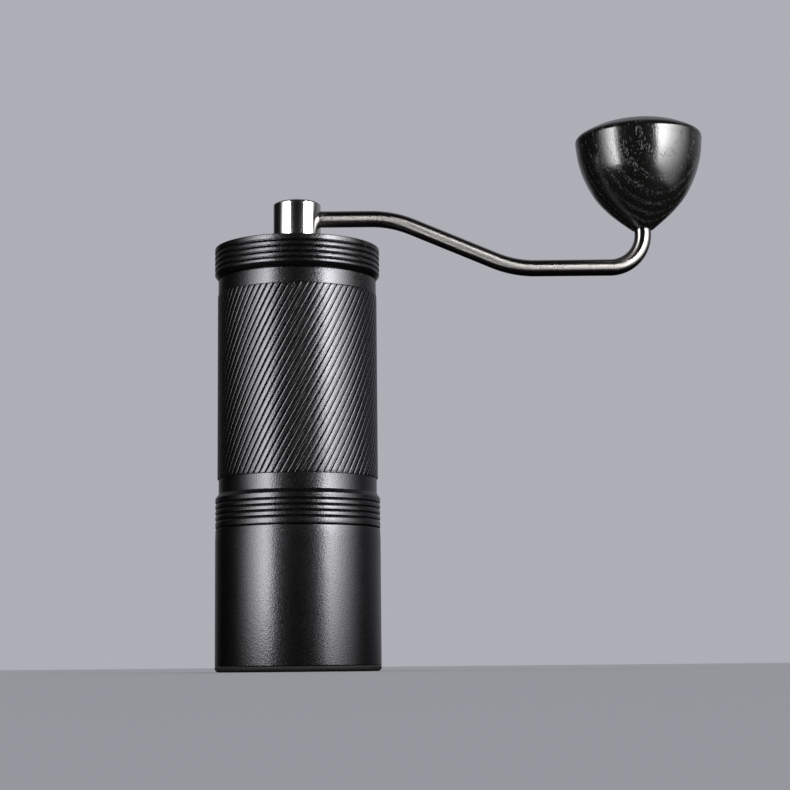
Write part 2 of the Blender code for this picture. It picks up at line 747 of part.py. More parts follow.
def settle_shading():
    """Bakes each part's modifiers, so that flats stay flat and round walls are shaded smooth."""
    bpy.context.view_layer.update()
    graph = bpy.context.evaluated_depsgraph_get()
    baked = {}
    for node in PARTS.objects:
        if node.type == "MESH":
            baked[node] = bpy.data.meshes.new_from_object(node.evaluated_get(graph))
    for node, mesh in baked.items():
        node.modifiers.clear()
        node.data = mesh
        mesh.shade_smooth()
        mesh.set_sharp_from_angle(angle=radians(32.0))


def build():
    root = add_body("cup_body")
    seal = add_body("cup_lift_body", root)
    housing = add_body("housing_body", seal)
    spindle = add_body("spindle_body", housing)
    slider = add_body("cone_body", spindle)
    dial = add_body("dial_body", slider)
    upper_cage = add_body("upper_cage_body", housing)
    lower_cage = add_body("lower_cage_body", housing)
    lid = add_body("lid_body", housing)
    crank = add_body("crank_body", spindle)
    knob = add_body("knob_body", crank, (KNOB_TIP[0], 0.0, KNOB_TIP[1]), -KNOB_TILT)

    make_catch_cup(root)
    make_cup_seal(seal)
    make_grip_body(housing)
    make_upper_bridge(housing)
    make_burr_carrier(housing)
    make_bearing("upper", UPPER_BEARING_BOTTOM, housing, spindle, upper_cage)
    make_bearing("lower", LOWER_BEARING_BOTTOM, housing, spindle, lower_cage)
    make_ring_burr(housing)
    make_spindle(spindle)
    make_burr_spring(spindle)
    make_cone_burr(slider)
    make_click_plate(slider)
    make_adjuster_dial(dial)
    make_lid(lid)
    make_crank(crank)
    make_knob(knob)
    settle_shading()


clear_scene()
PARTS = new_collection("hand_crank_coffee_grinder")
CUTTERS = new_collection("cutters")
BLACK_METAL = new_material("black anodised aluminium", (0.02, 0.02, 0.022), 0.9, 0.42)
MACHINED_METAL = new_material("machined aluminium", (0.62, 0.63, 0.65), 1.0, 0.3)
BRIGHT_STEEL = new_material("bright turned steel", (0.72, 0.71, 0.69), 1.0, 0.2)
DARK_STEEL = new_material("polished dark steel", (0.3, 0.29, 0.28), 1.0, 0.18)
SPRING_STEEL = new_material("spring steel", (0.35, 0.35, 0.36), 1.0, 0.35)
BEARING_STEEL = new_material("bearing steel", (0.7, 0.7, 0.72), 1.0, 0.15)
BURR_STEEL = new_material("burr steel", (0.45, 0.44, 0.43), 1.0, 0.3)
BRASS = new_material("brass", (0.7, 0.5, 0.22), 1.0, 0.25)
RUBBER = new_material("black rubber", (0.015, 0.015, 0.016), 0.0, 0.75)
SILICONE = new_material("black silicone", (0.03, 0.03, 0.032), 0.0, 0.6)
WHITE_PLASTIC = new_material("white bush plastic", (0.8, 0.8, 0.77), 0.0, 0.4)
BLACK_WOOD = new_material("black stained wood", (0.02, 0.018, 0.016), 0.0, 0.25)
build()
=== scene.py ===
import json
from math import ceil, cos, pi, radians, sin, tan

import bmesh
import bpy
from mathutils import Matrix, Vector

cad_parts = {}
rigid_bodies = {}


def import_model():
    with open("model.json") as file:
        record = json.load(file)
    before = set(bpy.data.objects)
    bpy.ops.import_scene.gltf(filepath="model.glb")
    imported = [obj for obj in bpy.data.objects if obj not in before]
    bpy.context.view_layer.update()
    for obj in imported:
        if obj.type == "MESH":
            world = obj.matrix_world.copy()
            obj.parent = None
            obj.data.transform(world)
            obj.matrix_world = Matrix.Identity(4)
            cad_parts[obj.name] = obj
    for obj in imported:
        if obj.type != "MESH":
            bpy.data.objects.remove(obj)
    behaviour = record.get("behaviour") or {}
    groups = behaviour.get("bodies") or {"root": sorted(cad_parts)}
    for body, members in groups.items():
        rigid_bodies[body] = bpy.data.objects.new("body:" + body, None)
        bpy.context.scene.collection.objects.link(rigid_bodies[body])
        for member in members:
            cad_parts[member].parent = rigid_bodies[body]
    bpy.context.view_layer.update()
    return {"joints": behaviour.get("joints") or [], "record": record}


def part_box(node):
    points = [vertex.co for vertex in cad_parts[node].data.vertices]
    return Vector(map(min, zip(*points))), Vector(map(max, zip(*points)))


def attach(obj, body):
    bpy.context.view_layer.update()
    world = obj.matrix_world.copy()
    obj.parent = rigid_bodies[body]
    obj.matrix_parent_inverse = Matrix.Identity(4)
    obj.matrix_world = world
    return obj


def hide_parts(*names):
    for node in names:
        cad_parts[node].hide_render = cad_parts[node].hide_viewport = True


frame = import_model()
mm = 0.001
bodyOf = {node: body for body, nodes in frame["record"]["behaviour"]["bodies"].items() for node in nodes}
jointOf = {joint["name"]: joint for joint in frame["joints"]}
print("frame loaded:", len(bodyOf), "nodes")


def cadHeights(node):  # lowest and highest point of a node, in millimetres
    low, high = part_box(node)
    return low.z / mm, high.z / mm


def cadRadius(node):  # half the width across Y, in millimetres
    low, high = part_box(node)
    return (high.y - low.y) / 2 / mm


def placed(name, data):  # a new object in the scene
    thing = bpy.data.objects.new(name, data)
    bpy.context.scene.collection.objects.link(thing)
    return thing


# Camera: level with the table, tilted up, with the grinder left of the middle
view = {
    "place": (31.55, -628.8, 1.5),
    "tilt": 7.876,
    "roll": 0.55,
    "focal": 89.3,  # millimetres on a 36 mm sensor
    "near": 8.0,
}


def makeCamera():
    data = bpy.data.cameras.new("studioCamera")
    camera = placed("studioCamera", data)
    camera.location = Vector(view["place"]) * mm
    aim = Matrix.Rotation(radians(90 + view["tilt"]), 4, "X") @ Matrix.Rotation(radians(-view["roll"]), 4, "Z")
    camera.rotation_euler = aim.to_euler()
    data.lens = view["focal"]
    data.sensor_width = 36
    data.clip_start = view["near"] * mm
    data.clip_end = 20
    bpy.context.scene.camera = camera


makeCamera()
bpy.context.scene.view_settings.view_transform = "Standard"
print("camera placed")


def addMath(tree, operation, *values):
    node = tree.nodes.new("ShaderNodeMath")
    node.operation = operation
    for socket, value in zip(node.inputs, values):
        if isinstance(value, (int, float)):
            socket.default_value = value
        else:
            tree.links.new(value, socket)
    return node.outputs[0]


def softStep(tree, value, low, high):
    node = tree.nodes.new("ShaderNodeMapRange")
    node.interpolation_type = "SMOOTHSTEP"
    node.inputs["From Min"].default_value = low
    node.inputs["From Max"].default_value = high
    tree.links.new(value, node.inputs["Value"])
    return node.outputs["Result"]


# Light: two softboxes at the sides of the front, a pale wall behind
studio = {
    "softboxes": (  # edges on the floor plan, height range, radiance, fade outward, top against bottom
        {"inner": (-165, -250), "outer": (-470, -14), "low": -8, "high": 300,
         "radiance": 20.5, "fade": 3.0, "top": 0.95},
        {"inner": (320, -386), "outer": (460, 90), "low": -60, "high": 335,
         "radiance": 4.9, "fade": 2.3, "top": 10.2},
    ),
    "backdrop": (0.42, 0.425, 0.47),
    "wall": (0.3, 0.305, 0.33),
    "wallFrom": (-0.1, 0.9),  # how far back the wall's glow starts
    "wallLeft": (-0.75, -0.2),
    "wallHigh": (0.3, 0.65),
    "wallLow": (-0.12, 0.02),
    "roomDark": (0.004, 0.004, 0.0045),
    "floor": (0.9, 0.9, 0.9),
    "floorRough": 0.9,
    "floorHalf": 6000,
}


def fadeLight(data, box, flipped):  # brightest at the inner edge, and with its own top to bottom change
    data.use_nodes = True
    tree = data.node_tree
    place = tree.nodes.new("ShaderNodeNewGeometry")
    split = tree.nodes.new("ShaderNodeSeparateXYZ")
    tree.links.new(place.outputs["Parametric"], split.inputs[0])
    across = split.outputs["X"] if flipped else addMath(tree, "SUBTRACT", 1, split.outputs["X"])
    rise = addMath(tree, "MULTIPLY_ADD", split.outputs["Y"], box["top"] - 1, 1)
    strength = addMath(tree, "MULTIPLY", addMath(tree, "POWER", across, box["fade"]), rise)
    tree.links.new(strength, tree.nodes["Emission"].inputs["Strength"])


def addSoftbox(name, box):
    inner, outer = Vector((*box["inner"], 0)), Vector((*box["outer"], 0))
    flipped = (outer - inner).cross(Vector((0, 0, 1))).dot(inner) < 0
    along = (inner - outer if flipped else outer - inner).normalized()
    away = along.cross(Vector((0, 0, 1)))
    data = bpy.data.lights.new(name, "AREA")
    data.shape = "RECTANGLE"
    data.size = (outer - inner).length * mm
    data.size_y = (box["high"] - box["low"]) * mm
    data.energy = box["radiance"] * pi * data.size * data.size_y
    fadeLight(data, box, flipped)
    light = placed(name, data)
    turn = Matrix((along, (0, 0, 1), away)).transposed().to_4x4()
    middle = (inner + outer) / 2 + Vector((0, 0, (box["low"] + box["high"]) / 2))
    light.matrix_world = Matrix.Translation(middle * mm) @ turn
    light.visible_camera = False


def makeLights():
    for i, box in enumerate(studio["softboxes"]):
        addSoftbox(f"softbox{i}", box)


def makeWorld():
    world = bpy.data.worlds.new("studioWorld")
    bpy.context.scene.world = world
    world.use_nodes = True
    nodes, links = world.node_tree.nodes, world.node_tree.links
    nodes.clear()
    coords = nodes.new("ShaderNodeTexCoord")
    split = nodes.new("ShaderNodeSeparateXYZ")
    room = nodes.new("ShaderNodeMix")
    room.data_type = "RGBA"
    room.inputs[6].default_value = (*studio["roomDark"], 1)
    room.inputs[7].default_value = (*studio["wall"], 1)
    path = nodes.new("ShaderNodeLightPath")
    seen = nodes.new("ShaderNodeMix")
    seen.data_type = "RGBA"
    seen.inputs[7].default_value = (*studio["backdrop"], 1)
    shine = nodes.new("ShaderNodeBackground")
    out = nodes.new("ShaderNodeOutputWorld")
    links.new(coords.outputs["Generated"], split.inputs[0])
    behind = softStep(world.node_tree, split.outputs["Y"], *studio["wallFrom"])
    aside = softStep(world.node_tree, split.outputs["X"], *studio["wallLeft"])
    above = softStep(world.node_tree, split.outputs["Z"], *studio["wallHigh"])
    over = softStep(world.node_tree, split.outputs["Z"], *studio["wallLow"])
    wide = addMath(world.node_tree, "MAXIMUM", aside, above)
    glow = addMath(world.node_tree, "MULTIPLY", addMath(world.node_tree, "MULTIPLY", behind, wide), over)
    links.new(glow, room.inputs[0])
    pale = addMath(world.node_tree, "MAXIMUM", path.outputs["Is Camera Ray"], path.outputs["Is Diffuse Ray"])
    links.new(pale, seen.inputs[0])
    links.new(room.outputs[2], seen.inputs[6])
    links.new(seen.outputs[2], shine.inputs["Color"])
    links.new(shine.outputs[0], out.inputs[0])


makeLights()
makeWorld()
print("lights placed")


# Shader groups that several finishes share
def newGroup(name, inputs, outputs):
    group = bpy.data.node_groups.new(name, "ShaderNodeTree")
    for label, default in inputs:
        socket = group.interface.new_socket(name=label, in_out="INPUT", socket_type="NodeSocketFloat")
        socket.default_value = default
    for label, kind in outputs:
        group.interface.new_socket(name=label, in_out="OUTPUT", socket_type=kind)
    return group, group.nodes.new("NodeGroupInput"), group.nodes.new("NodeGroupOutput")


def makeSpeckleGroup():  # fine blasted or moulded grain, the same in every direction
    outputs = (("Mask", "NodeSocketFloat"), ("Normal", "NodeSocketVector"))
    group, into, out = newGroup("fineSpeckle", (("Scale", 4000), ("Depth", 0.1)), outputs)
    nodes, links = group.nodes, group.links
    coords = nodes.new("ShaderNodeTexCoord")
    noise = nodes.new("ShaderNodeTexNoise")
    noise.inputs["Detail"].default_value = 2
    bump = nodes.new("ShaderNodeBump")
    bump.inputs["Distance"].default_value = 0.0001
    links.new(coords.outputs["Object"], noise.inputs["Vector"])
    links.new(into.outputs["Scale"], noise.inputs["Scale"])
    links.new(noise.outputs[0], out.inputs["Mask"])
    links.new(noise.outputs[0], bump.inputs["Height"])
    links.new(into.outputs["Depth"], bump.inputs["Strength"])
    links.new(bump.outputs[0], out.inputs["Normal"])
    return group


def makeTurnedGroup():  # the fine rings that a lathe leaves around the Z axis
    outputs = (("Mask", "NodeSocketFloat"), ("Normal", "NodeSocketVector"))
    group, into, out = newGroup("turnedMarks", (("Scale", 9000), ("Depth", 0.1)), outputs)
    nodes, links = group.nodes, group.links
    coords = nodes.new("ShaderNodeTexCoord")
    split = nodes.new("ShaderNodeSeparateXYZ")
    links.new(coords.outputs["Object"], split.inputs[0])
    squares = [addMath(group, "MULTIPLY", split.outputs[i], split.outputs[i]) for i in (0, 1)]
    reach = addMath(group, "SQRT", addMath(group, "ADD", *squares))
    along = addMath(group, "ADD", reach, split.outputs[2])
    noise = nodes.new("ShaderNodeTexNoise")
    noise.noise_dimensions = "1D"
    noise.inputs["Detail"].default_value = 3
    bump = nodes.new("ShaderNodeBump")
    bump.inputs["Distance"].default_value = 0.00003
    links.new(addMath(group, "MULTIPLY", along, into.outputs["Scale"]), noise.inputs["W"])
    noise.inputs["Scale"].default_value = 1
    links.new(noise.outputs[0], out.inputs["Mask"])
    links.new(noise.outputs[0], bump.inputs["Height"])
    links.new(into.outputs["Depth"], bump.inputs["Strength"])
    links.new(bump.outputs[0], out.inputs["Normal"])
    return group


def makeSmudgeGroup():  # slow change of gloss, as fingers and cloths leave
    group, into, out = newGroup("handSmudge", (("Scale", 90),), (("Mask", "NodeSocketFloat"),))
    nodes, links = group.nodes, group.links
    coords = nodes.new("ShaderNodeTexCoord")
    noise = nodes.new("ShaderNodeTexNoise")
    noise.inputs["Detail"].default_value = 5
    noise.inputs["Roughness"].default_value = 0.6
    noise.inputs["Distortion"].default_value = 0.8
    links.new(coords.outputs["Object"], noise.inputs["Vector"])
    links.new(into.outputs["Scale"], noise.inputs["Scale"])
    links.new(noise.outputs[0], out.inputs["Mask"])
    return group


speckleGroup = makeSpeckleGroup()
turnedGroup = makeTurnedGroup()
smudgeGroup = makeSmudgeGroup()


def useGroup(tree, group, **values):
    node = tree.nodes.new("ShaderNodeGroup")
    node.node_tree = group
    for label, value in values.items():
        node.inputs[label].default_value = value
    return node


def spreadTo(tree, mask, low, high, fromLow=0.3, fromHigh=0.7):
    node = tree.nodes.new("ShaderNodeMapRange")
    node.inputs["From Min"].default_value = fromLow
    node.inputs["From Max"].default_value = fromHigh
    node.inputs["To Min"].default_value = low
    node.inputs["To Max"].default_value = high
    tree.links.new(mask, node.inputs["Value"])
    return node.outputs[0]


def mixColors(tree, mask, dark, light):
    node = tree.nodes.new("ShaderNodeMix")
    node.data_type = "RGBA"
    node.inputs[6].default_value = (*dark, 1)
    node.inputs[7].default_value = (*light, 1)
    tree.links.new(mask, node.inputs[0])
    return node.outputs[2]


def newFinish(name):
    material = bpy.data.materials.new(name)
    material.use_nodes = True
    return material, material.node_tree, material.node_tree.nodes["Principled BSDF"]


def makeFinish(name, look):  # a finish from its grain group, two colours and a range of roughness
    material, tree, shader = newFinish(name)
    grain = useGroup(tree, look["grain"], Scale=look["scale"], Depth=look["depth"])
    smudge = useGroup(tree, smudgeGroup, Scale=look.get("smudge", 90))
    color = mixColors(tree, grain.outputs["Mask"], look["dark"], look["light"])
    tree.links.new(color, shader.inputs["Base Color"])
    gloss = addMath(tree, "ADD", spreadTo(tree, smudge.outputs["Mask"], *look["rough"]),
                    spreadTo(tree, grain.outputs["Mask"], -look["roughGrain"], look["roughGrain"]))
    tree.links.new(gloss, shader.inputs["Roughness"])
    tree.links.new(grain.outputs["Normal"], shader.inputs["Normal"])
    shader.inputs["Metallic"].default_value = look["metal"]
    shader.inputs["Specular IOR Level"].default_value = look.get("specular", 0.5)
    shader.inputs["Coat Weight"].default_value = look.get("coat", 0)
    shader.inputs["Coat Roughness"].default_value = look.get("coatRough", 0.1)
    return material


finishes = {
    "anodised": {"grain": speckleGroup, "scale": 2300, "depth": 0.45, "dark": (0.03, 0.03, 0.032),
                 "light": (0.066, 0.066, 0.07), "rough": (0.27, 0.29), "roughGrain": 0.03, "metal": 1},
    "rubber": {"grain": speckleGroup, "scale": 2600, "depth": 0.12, "dark": (0.002, 0.002, 0.0022),
               "light": (0.006, 0.006, 0.0063), "rough": (0.6, 0.7), "roughGrain": 0.05,
               "metal": 0, "specular": 0.2},
    "silicone": {"grain": speckleGroup, "scale": 1800, "depth": 0.08, "dark": (0.02, 0.02, 0.021),
                 "light": (0.03, 0.03, 0.032), "rough": (0.4, 0.5), "roughGrain": 0.02, "metal": 0},
    "brightSteel": {"grain": turnedGroup, "scale": 9000, "depth": 0.12, "dark": (0.56, 0.55, 0.53),
                    "light": (0.68, 0.67, 0.65), "rough": (0.14, 0.18), "roughGrain": 0.03, "metal": 1},
    "machined": {"grain": turnedGroup, "scale": 5000, "depth": 0.2, "dark": (0.5, 0.51, 0.53),
                 "light": (0.66, 0.67, 0.69), "rough": (0.26, 0.34), "roughGrain": 0.05, "metal": 1},
    "bearingSteel": {"grain": turnedGroup, "scale": 12000, "depth": 0.05, "dark": (0.6, 0.6, 0.62),
                     "light": (0.7, 0.7, 0.72), "rough": (0.1, 0.16), "roughGrain": 0.02, "metal": 1},
    "springSteel": {"grain": speckleGroup, "scale": 3500, "depth": 0.08, "dark": (0.28, 0.28, 0.29),
                    "light": (0.4, 0.4, 0.41), "rough": (0.22, 0.3), "roughGrain": 0.04, "metal": 1},
    "burrSteel": {"grain": speckleGroup, "scale": 2500, "depth": 0.15, "dark": (0.38, 0.37, 0.36),
                  "light": (0.5, 0.49, 0.47), "rough": (0.24, 0.34), "roughGrain": 0.05, "metal": 1},
    "brass": {"grain": turnedGroup, "scale": 7000, "depth": 0.12, "dark": (0.6, 0.42, 0.17),
              "light": (0.76, 0.56, 0.26), "rough": (0.2, 0.3), "roughGrain": 0.04, "metal": 1},
    "acetal": {"grain": speckleGroup, "scale": 1500, "depth": 0.06, "dark": (0.74, 0.73, 0.69),
               "light": (0.82, 0.81, 0.78), "rough": (0.35, 0.45), "roughGrain": 0.02, "metal": 0},
    "rod": {"grain": speckleGroup, "scale": 1200, "depth": 0.001, "dark": (0.27, 0.26, 0.248),
            "light": (0.32, 0.31, 0.3), "rough": (0.27, 0.3), "roughGrain": 0.01, "metal": 1},
}
finish = {name: makeFinish(name, look) for name, look in finishes.items()}

def polishAround(material):  # marks around the rod spread its reflections along it
    tree = material.node_tree
    shader = tree.nodes["Principled BSDF"]
    direction = tree.nodes.new("ShaderNodeAttribute")
    direction.attribute_name = "rodDirection"
    turned = tree.nodes.new("ShaderNodeVectorTransform")
    turned.vector_type, turned.convert_from, turned.convert_to = "VECTOR", "OBJECT", "WORLD"
    tree.links.new(direction.outputs["Vector"], turned.inputs[0])
    tree.links.new(turned.outputs[0], shader.inputs["Tangent"])
    shader.inputs["Anisotropic"].default_value = 0.95


polishAround(finish["rod"])

wood = {
    "heart": (-14, 60),  # middle of the tree's rings, in millimetres from the knob's axis
    "ringPitch": 2.6,
    "poreLong": 3.6,
    "poreWide": 0.13,
    "grain": 0.3,  # how much the fine fibres stand out against the pores
    "dark": (0.0025, 0.0024, 0.0022),
    "pore": (0.03, 0.029, 0.028),
}


def makeWood():  # black stained open-pore wood under clear lacquer, with its fibres along the knob's axis
    material, tree, shader = newFinish("blackWood")
    nodes, links = tree.nodes, tree.links
    coords = nodes.new("ShaderNodeTexCoord")
    waver = nodes.new("ShaderNodeTexNoise")
    waver.inputs["Scale"].default_value = 45
    waver.inputs["Detail"].default_value = 3
    links.new(coords.outputs["Object"], waver.inputs["Vector"])
    split = nodes.new("ShaderNodeSeparateXYZ")
    links.new(coords.outputs["Object"], split.inputs[0])
    offsets = [addMath(tree, "SUBTRACT", split.outputs[i], wood["heart"][i] * mm) for i in (0, 1)]
    squares = [addMath(tree, "MULTIPLY", side, side) for side in offsets]
    reach = addMath(tree, "SQRT", addMath(tree, "ADD", *squares))
    wander = addMath(tree, "MULTIPLY", waver.outputs[0], 1.6 * wood["ringPitch"] * mm)
    wandering = addMath(tree, "ADD", reach, wander)
    rings = addMath(tree, "FRACT", addMath(tree, "DIVIDE", wandering, wood["ringPitch"] * mm))
    early = spreadTo(tree, rings, 0.0, 1.0, 0.45, 0.8)  # crowded with pores at the end of each ring
    stretch = nodes.new("ShaderNodeMapping")
    stretch.inputs["Scale"].default_value = (1, 1, wood["poreWide"] / wood["poreLong"] * 3)
    links.new(coords.outputs["Object"], stretch.inputs["Vector"])
    pores = nodes.new("ShaderNodeTexNoise")
    pores.inputs["Scale"].default_value = 1 / (wood["poreWide"] * 2 * mm)
    pores.inputs["Detail"].default_value = 2
    links.new(stretch.outputs[0], pores.inputs["Vector"])
    limit = spreadTo(tree, early, 0.7, 0.6, 0, 1)
    poreMask = spreadTo(tree, addMath(tree, "SUBTRACT", pores.outputs[0], limit), 0, 1, 0, 0.05)
    links.new(mixColors(tree, poreMask, wood["dark"], wood["pore"]), shader.inputs["Base Color"])
    links.new(spreadTo(tree, poreMask, 0.17, 0.5, 0, 1), shader.inputs["Roughness"])
    bump = nodes.new("ShaderNodeBump")
    bump.invert = True
    bump.inputs["Distance"].default_value = 0.00012
    bump.inputs["Strength"].default_value = 0.8
    links.new(addMath(tree, "MULTIPLY_ADD", pores.outputs[0], wood["grain"], poreMask), bump.inputs["Height"])
    links.new(bump.outputs[0], shader.inputs["Normal"])
    links.new(bump.outputs[0], shader.inputs["Coat Normal"])
    shader.inputs["Coat Weight"].default_value = 0.4
    shader.inputs["Coat Roughness"].default_value = 0.12
    return material


finish["wood"] = makeWood()
print("finishes made:", len(finish))


# Mesh tools
def fromMesh(name, bm):
    mesh = bpy.data.meshes.new(name)
    bm.to_mesh(mesh)
    bm.free()
    return placed(name, mesh)


def skin(name, rings, closed=True):  # faces between loops of points; a loop of one point is a pole
    bm = bmesh.new()
    loops = [[bm.verts.new(Vector(point) * mm) for point in ring] for ring in rings]
    for upper, lower in zip(loops, loops[1:] + (loops[:1] if closed else [])):
        count = max(len(upper), len(lower))
        for i in range(count):
            j = (i + 1) % count
            corners = (upper[i % len(upper)], lower[i % len(lower)],
                       lower[j % len(lower)], upper[j % len(upper)])
            bm.faces.new(dict.fromkeys(corners))
    return fromMesh(name, bm)


def circle(radius, height, steps, start=0.0):
    if radius == 0:
        return [(0, 0, height)]
    angles = [start + 2 * pi * i / steps for i in range(steps)]
    return [(radius * cos(a), radius * sin(a), height) for a in angles]


def eased(profile, size, steps=3, closed=True):  # a small curve at each corner of a profile
    count = len(profile)
    line = []
    for i, corner in enumerate(profile):
        corner = Vector(corner)
        before, after = Vector(profile[i - 1]), Vector(profile[(i + 1) % count])
        onAxis = corner.x == 0 or (not closed and i in (0, count - 1))
        into, out = corner - before, after - corner
        if onAxis or into.length == 0 or out.length == 0 or into.angle(out) < 0.3:
            line.append(tuple(corner))
            continue
        reach = min(size, into.length * 0.45, out.length * 0.45)
        start, end = corner - into.normalized() * reach, corner + out.normalized() * reach
        for k in range(steps + 1):
            t = k / steps
            point = start * (1 - t) ** 2 + corner * 2 * t * (1 - t) + end * t**2
            line.append(tuple(point))
    return line


def lathe(name, profile, steps=160):  # a profile runs down the outer side and up the bore, or from axis to axis
    return skin(name, [circle(radius, height, steps) for radius, height in profile], profile[0][0] > 0)


def smooth(piece, sharp=40):
    piece.data.shade_smooth()
    piece.data.set_sharp_from_angle(angle=radians(sharp))
    return piece


def applyModifiers(piece):
    graph = bpy.context.evaluated_depsgraph_get()
    mesh = bpy.data.meshes.new_from_object(piece.evaluated_get(graph))
    piece.modifiers.clear()
    old, piece.data = piece.data, mesh
    bpy.data.meshes.remove(old)
    return piece


def carve(piece, others, operation="DIFFERENCE"):  # Boolean with each of the others, which are then removed
    for other in others:
        modifier = piece.modifiers.new(operation.lower(), "BOOLEAN")
        modifier.operation = operation
        modifier.solver = "EXACT"
        modifier.object = other
    applyModifiers(piece)
    for other in others:
        bpy.data.objects.remove(other)
    return piece


def prism(name, radius, low, high, sides=48, x=0.0, y=0.0, start=0.0):
    rings = [[(0, 0, high)], circle(radius, high, sides, start),
             circle(radius, low, sides, start), [(0, 0, low)]]
    piece = skin(name, rings, False)
    piece.data.transform(Matrix.Translation(Vector((x, y, 0)) * mm))
    return piece


def easedBox(name, low, high, ease, turnBy=0.0):
    bm = bmesh.new()
    bmesh.ops.create_cube(bm, size=1)
    size, centre = Vector(high) - Vector(low), (Vector(high) + Vector(low)) / 2
    bmesh.ops.scale(bm, verts=bm.verts, vec=size * mm)
    bmesh.ops.translate(bm, verts=bm.verts, vec=centre * mm)
    bmesh.ops.bevel(bm, geom=list(bm.edges), offset=ease * mm, segments=2, affect="EDGES", profile=0.5)
    bmesh.ops.rotate(bm, verts=bm.verts, matrix=Matrix.Rotation(radians(turnBy), 3, "Z"))
    return fromMesh(name, bm)


def sweep(name, route, radii, sides=24):  # a round rod or wire along points, with closed ends
    points = [Vector(point) for point in route]
    ahead = (points[1] - points[0]).normalized()
    side = ahead.orthogonal().normalized()
    rings = [[tuple(points[0])]]
    for i, point in enumerate(points):
        nearBy = (points[max(i - 1, 0)], points[min(i + 1, len(points) - 1)])
        step = (nearBy[1] - nearBy[0]).normalized()
        side = (side - step * side.dot(step)).normalized()
        other = step.cross(side)
        angles = [-2 * pi * k / sides for k in range(sides)]
        rings.append([tuple(point + (side * cos(a) + other * sin(a)) * radii[i]) for a in angles])
    rings.append([tuple(points[-1])])
    return skin(name, rings, False)


def markAxis(piece, route, sides):  # keeps the direction of a swept rod for the finish
    points = [Vector(point) for point in route]
    last = len(points) - 1
    steps = [(points[min(i + 1, last)] - points[max(i - 1, 0)]).normalized() for i in range(last + 1)]
    values = [steps[0]] + [step for step in steps for _ in range(sides)] + [steps[-1]]
    attribute = piece.data.attributes.new("rodDirection", "FLOAT_VECTOR", "POINT")
    attribute.data.foreach_set("vector", [axis for value in values for axis in value])
    return piece


def settle(piece, node, material):  # stands in for a CAD node and moves with its body
    piece.data.materials.clear()
    piece.data.materials.append(material)
    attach(piece, bodyOf[node])
    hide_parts(node)
    return piece


# Catch cup with its thread, and the rubber pad under it
cup = {
    "radius": cadRadius("catch_cup"),
    "bore": 22.3,
    "neck": 23.6,
    "shoulder": 45.2,
    "floor": 4.2,
    "threadPitch": 2.0,
    "threadHeight": 0.5,
    "threadTurns": 2.6,
}


def threadRidge():  # a helical ridge on the neck, which fades out at both ends
    start = cup["shoulder"] + 1.0
    steps = 90
    count = ceil(cup["threadTurns"] * steps)
    rings = []
    for i in range(count + 1):
        angle = 2 * pi * i / steps
        fade = min(1, i / 18, (count - i) / 18)
        height = start + cup["threadPitch"] * i / steps
        crest = cup["neck"] + cup["threadHeight"] * fade
        section = ((cup["neck"] - 0.2, -0.55), (crest, -0.12), (crest, 0.12), (cup["neck"] - 0.2, 0.55))
        rings.append([(r * cos(angle), r * sin(angle), height + dz) for r, dz in section])
    first, last = rings[0], rings[-1]
    ends = [[tuple(sum(axis) / 4 for axis in zip(*ring))] for ring in (first, last)]
    return skin("threadRidge", [ends[0], *rings, ends[1]], False)


def makeCup():
    low, high = cadHeights("catch_cup")
    outer, bore, neck = cup["radius"], cup["bore"], cup["neck"]
    bottom, shoulder = cup["floor"], cup["shoulder"]
    profile = [
        (0, bottom), (bore - 2.5, bottom), (bore - 0.7, bottom + 0.7), (bore, bottom + 2.5),
        (bore, high), (neck, high), (neck, shoulder), (outer - 0.12, shoulder),
        (outer, shoulder - 4), (outer, low), (0, low),
    ]
    body = smooth(lathe("catchCup", eased(profile, 0.35, 4), 256))
    settle(carve(body, [threadRidge()], "UNION"), "catch_cup", finish["anodised"])
    smooth(body)
    padLow, padHigh = cadHeights("base_pad")
    padHigh = low - 0.02
    pad = [(0, padHigh), (outer - 0.05, padHigh), (outer, padHigh - 0.1), (outer, 0.9), (outer - 0.35, 0.3),
           (outer - 1.1, padLow), (outer - 6, padLow), (outer - 6.4, padLow + 0.35), (0, padLow + 0.35)]
    settle(smooth(lathe("basePad", eased(pad, 0.3), 256)), "base_pad", finish["rubber"])
    sealLow, sealHigh = cadHeights("cup_seal")
    middle, ring = (sealLow + sealHigh) / 2, cadRadius("cup_seal") - (sealHigh - sealLow) / 2
    section = [(ring + 0.6 * cos(a), middle + 0.6 * sin(a)) for a in (-2 * pi * i / 16 for i in range(16))]
    settle(smooth(lathe("cupSeal", section, 160)), "cup_seal", finish["silicone"])


makeCup()
print("cup made")


# Body tube: ribbed ring, smooth bands and the helical knurl, in one mesh
tube = {
    "ringRadius": 26.45,
    "band": 25.4,
    "upperBand": 25.6,
    "grip": 25.8,
    "bore": 23.3,
    "neck": 24.6,
    "shoulder": 126.0,
    "rows": 64,  # along the knurl
    "gripLow": 61.2,
    "gripHigh": 121.1,
    "grooves": 72,
    "helix": 30.0,  # degrees from the axis
    "grooveDepth": 0.56,
    "columns": (  # share of a groove's turn, and share of its depth
        (0.5, 0), (0.68, 0), (0.82, 0), (0.87, 0.1), (0.92, 1), (1.08, 1), (1.13, 0.1), (1.18, 0), (1.32, 0),
    ),
    "ribPitch": 1.83,
    "ribShape": (  # height from the groove, and depth
        (0.19, 0), (0.12, 0.06), (0.08, 0.4), (-0.06, 0.45), (-0.15, 0.36), (-0.7, 0.06), (-0.85, 0),
    ),
    "ribFirst": 47.95,
}


def ribProfile(first, radius, count=4):  # ribs with a sharp lower edge over a groove that runs out slowly
    heights = [first + i * tube["ribPitch"] for i in reversed(range(count))]
    return [(radius - deep, height + along) for height in heights for along, deep in tube["ribShape"]]


